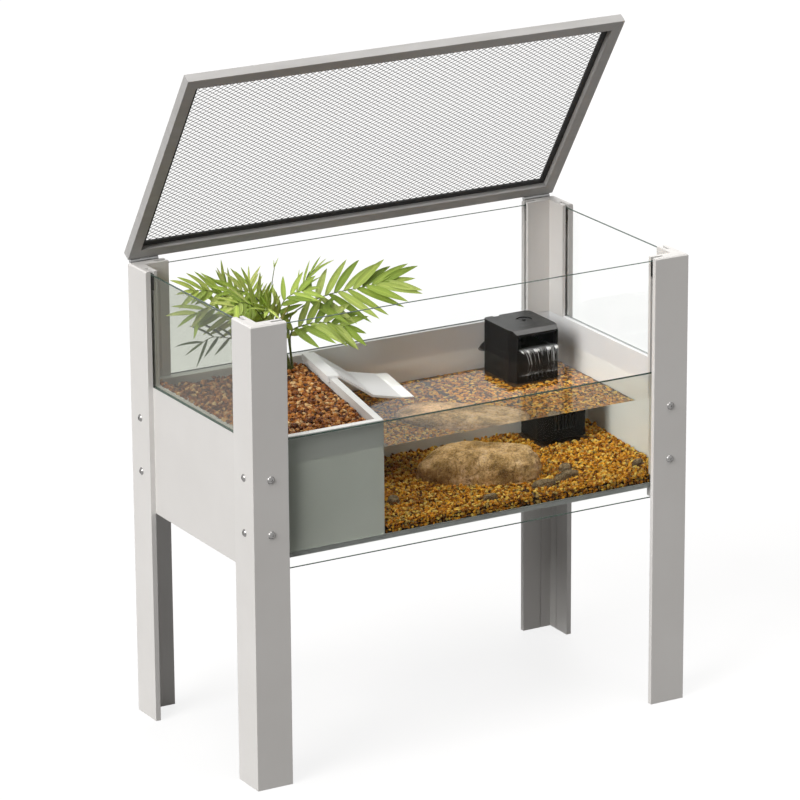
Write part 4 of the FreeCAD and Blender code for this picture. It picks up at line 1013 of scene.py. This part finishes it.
def add_blade(rng, leaves, line, start, pairs, length, slim, first, last, facing):
    """Adds a frond's leaflets: pairs along the stalk and one at its tip."""
    face = Vector(facing).normalized()
    for i in range(pairs):
        for side in (-1.0, 1.0):
            share = (i + (0.3 if side > 0 else 0.7)) / pairs
            t = (start + (1.0 - start) * share) * STALK_STEPS
            k = min(STALK_STEPS - 1, int(t))
            root = line[k].lerp(line[k + 1], t - k)
            along = (line[k + 1] - line[k]).normalized()
            across = face.cross(along).normalized()
            normal = along.cross(across).normalized()
            angle = math.radians(first + (last - first) * share + rng.uniform(-6, 6))
            way = (along * math.cos(angle) + across * (side * math.sin(angle))).normalized()
            way = (way + normal * rng.uniform(-0.15, 0.2)).normalized()
            normal = (normal - way * normal.dot(way)).normalized()
            fullness = 0.68 + 0.36 * math.sin(math.pi * (0.12 + 0.72 * share))
            reach = length * fullness * rng.uniform(0.92, 1.08) * MM
            width = length * slim * rng.uniform(0.9, 1.1) * MM
            add_leaflet(leaves, root, way, normal, along, reach, width, rng.uniform(0.04, 0.16))
    along = (line[-1] - line[-3]).normalized()
    normal = along.cross(face.cross(along).normalized()).normalized()
    add_leaflet(leaves, line[-2], along, normal, along, length * 0.72 * MM, length * slim * 0.8 * MM, 0.08)


def make_palm():
    rng = random.Random(5)
    crown = at(CROWN_X, CROWN_Y, SOIL)
    leaves = ([], [], [])
    leaf_points, leaf_faces, coords = leaves
    indices = []
    stalk_points = []
    stalk_faces = []
    for stalk, *blade, material in FRONDS:
        line = stalk_line(crown, stalk)
        add_tube(stalk_points, stalk_faces, stalk_rings(line))
        add_blade(rng, leaves, line, *blade)
        indices += [material] * (len(leaf_faces) - len(indices))
    indices += [STEM] * len(stalk_faces)
    coords += [(0.0, 0.5)] * len(stalk_points)
    points, faces = join((leaf_points, leaf_faces), (stalk_points, stalk_faces))
    mesh = mesh_of("palm_fronds", points, faces, palm_materials(), indices)
    layer = mesh.uv_layers.new(name="leaf")
    for loop in mesh.loops:
        layer.data[loop.index].uv = coords[loop.vertex_index]
    mesh.set_sharp_from_angle(angle=math.radians(50))
    new_piece("palm_fronds", mesh, "planter", "palm_green", "palm_plant")


# Lid mesh: two crossing families of strands that make diamonds

HINGE = next(joint for joint in frame["joints"] if joint["name"] == "lid_hinge")
LID_OPEN = math.radians(-HINGE["range_deg"][0])
DIAMOND_WIDTH = 9.03
DIAMOND_DEPTH = 6.06
STRAND_HALF = 0.28
# The mesh's sides, its ends by distance from the hinge line, and its faces over the lid's underside
MESH_SIDE = side_of("lid_mesh", HIGH, X) - 2.3
MESH_NEAR = 15.3
MESH_FAR = 296.8
MESH_LOW = 9.4
MESH_HIGH = 9.8


def lid_place(x, reach, height):
    """A place on the open lid: across, distance in front of the hinge line, height over the underside."""
    y = -reach * math.cos(LID_OPEN) + height * math.sin(LID_OPEN)
    z = reach * math.sin(LID_OPEN) + height * math.cos(LID_OPEN)
    return Vector(HINGE["pos_m"]) + Vector((x, y, z)) * MM


def strand_ring(x, reach, half):
    """The four corners of a strand where it crosses a place."""
    corners = ((-half, MESH_LOW), (-half, MESH_HIGH), (half, MESH_HIGH), (half, MESH_LOW))
    return [lid_place(x, reach + shift, height) for shift, height in corners]


def make_lid_mesh():
    points = []
    faces = []
    for slope in (DIAMOND_DEPTH / DIAMOND_WIDTH, -DIAMOND_DEPTH / DIAMOND_WIDTH):
        half = STRAND_HALF * math.hypot(1.0, slope)
        rise = abs(slope) * MESH_SIDE
        start = math.ceil((MESH_NEAR - rise) / DIAMOND_DEPTH) * DIAMOND_DEPTH
        while start < MESH_FAR + rise:
            ends = sorted([(MESH_NEAR - start) / slope, (MESH_FAR - start) / slope])
            left = max(-MESH_SIDE, ends[0])
            right = min(MESH_SIDE, ends[1])
            if right - left > 2.0:
                add_tube(points, faces, [strand_ring(x, slope * x + start, half) for x in (left, right)])
            start += DIAMOND_DEPTH
    mesh = mesh_of("lid_diamond_mesh", points, faces, [FINISHES["mesh_black"]], smooth=False)
    new_piece("lid_diamond_mesh", mesh, "lid", "mesh_black", "lid_mesh")


# Stage

# The photograph's camera, solved from the corners of the legs
CAMERA_PLACE = (-2802.3, -4886.22, 2195.54)
CAMERA_TILT = 71.493
CAMERA_TURN = -30.87
CAMERA_LENS = 218.6
CAMERA_SHIFT = (-0.1169, 0.0832)

# Strength of each lamp, its width as an angle, and the way to it
LAMP_COLOUR = (1.0, 0.985, 0.97)
LAMPS = {
    "key": (2.68, 35.0, (-0.82, -0.25, 0.52)),
    "top": (1.65, 40.0, (0.0, -0.1, 0.995)),
    "back": (0.6, 25.0, (0.35, 0.6, 0.72)),
}

# Half the floor's width, in metres
FLOOR_REACH = 20.0


def make_camera():
    data = bpy.data.cameras.new("photo_camera")
    data.sensor_fit = "HORIZONTAL"
    data.sensor_width = 36.0
    data.lens = CAMERA_LENS
    data.shift_x, data.shift_y = CAMERA_SHIFT
    data.clip_end = 80.0
    camera = bpy.data.objects.new("photo_camera", data)
    camera.location = at(*CAMERA_PLACE)
    camera.rotation_euler = (math.radians(CAMERA_TILT), 0.0, math.radians(CAMERA_TURN))
    scene.collection.objects.link(camera)
    scene.camera = camera


def make_world():
    """A white background that lights the tank only a little."""
    world = bpy.data.worlds.new("studio")
    world.use_nodes = True
    tree = world.node_tree
    tree.nodes.clear()
    seen = add(tree, "ShaderNodeBackground", Color=WHITE, Strength=1.0)
    glow = add(tree, "ShaderNodeBackground", Color=(1.0, 0.92, 0.84, 1.0), Strength=0.10)
    mix = mix_shaders(tree, background_rays(tree), glow, seen)
    output = tree.nodes.new("ShaderNodeOutputWorld")
    tree.links.new(mix.outputs[0], output.inputs["Surface"])
    scene.world = world


def make_lamps():
    for name, (energy, angle, way) in LAMPS.items():
        lamp = bpy.data.lights.new(name, "SUN")
        lamp.energy = energy
        lamp.angle = math.radians(angle)
        lamp.color = LAMP_COLOUR
        sun = bpy.data.objects.new(name, lamp)
        sun.rotation_euler = Vector(way).to_track_quat("Z", "Y").to_euler()
        scene.collection.objects.link(sun)


def make_floor():
    """A pale floor that keeps the shadow and shows white where it is lit."""
    material, tree = new_material("studio_floor")
    paper = ramp(tree, clouds(tree, 3.0), [(0.3, grey(0.17)), (0.7, grey(0.19))])
    matte = add(tree, "ShaderNodeBsdfDiffuse", Color=paper)
    lit = add(tree, "ShaderNodeEmission", Color=WHITE, Strength=0.83)
    none = add(tree, "ShaderNodeEmission", Color=(0.0, 0.0, 0.0, 1.0), Strength=0.0)
    glow = mix_shaders(tree, background_rays(tree), none, lit)
    total = tree.nodes.new("ShaderNodeAddShader")
    tree.links.new(matte.outputs[0], total.inputs[0])
    tree.links.new(glow.outputs[0], total.inputs[1])
    finish_material(tree, total)
    corners = [(-FLOOR_REACH, -FLOOR_REACH, 0), (FLOOR_REACH, -FLOOR_REACH, 0),
               (FLOOR_REACH, FLOOR_REACH, 0), (-FLOOR_REACH, FLOOR_REACH, 0)]
    floor = bpy.data.objects.new("studio_floor", mesh_of("studio_floor", corners, [[0, 1, 2, 3]], [material]))
    scene.collection.objects.link(floor)


make_camera()
make_world()
make_lamps()
make_floor()
dress_plain_nodes()
make_panes()
make_water()
make_waterfall()
make_tub_gravel()
make_planter_gravel()
make_boulder()
make_small_stones()
make_palm()
make_lid_mesh()
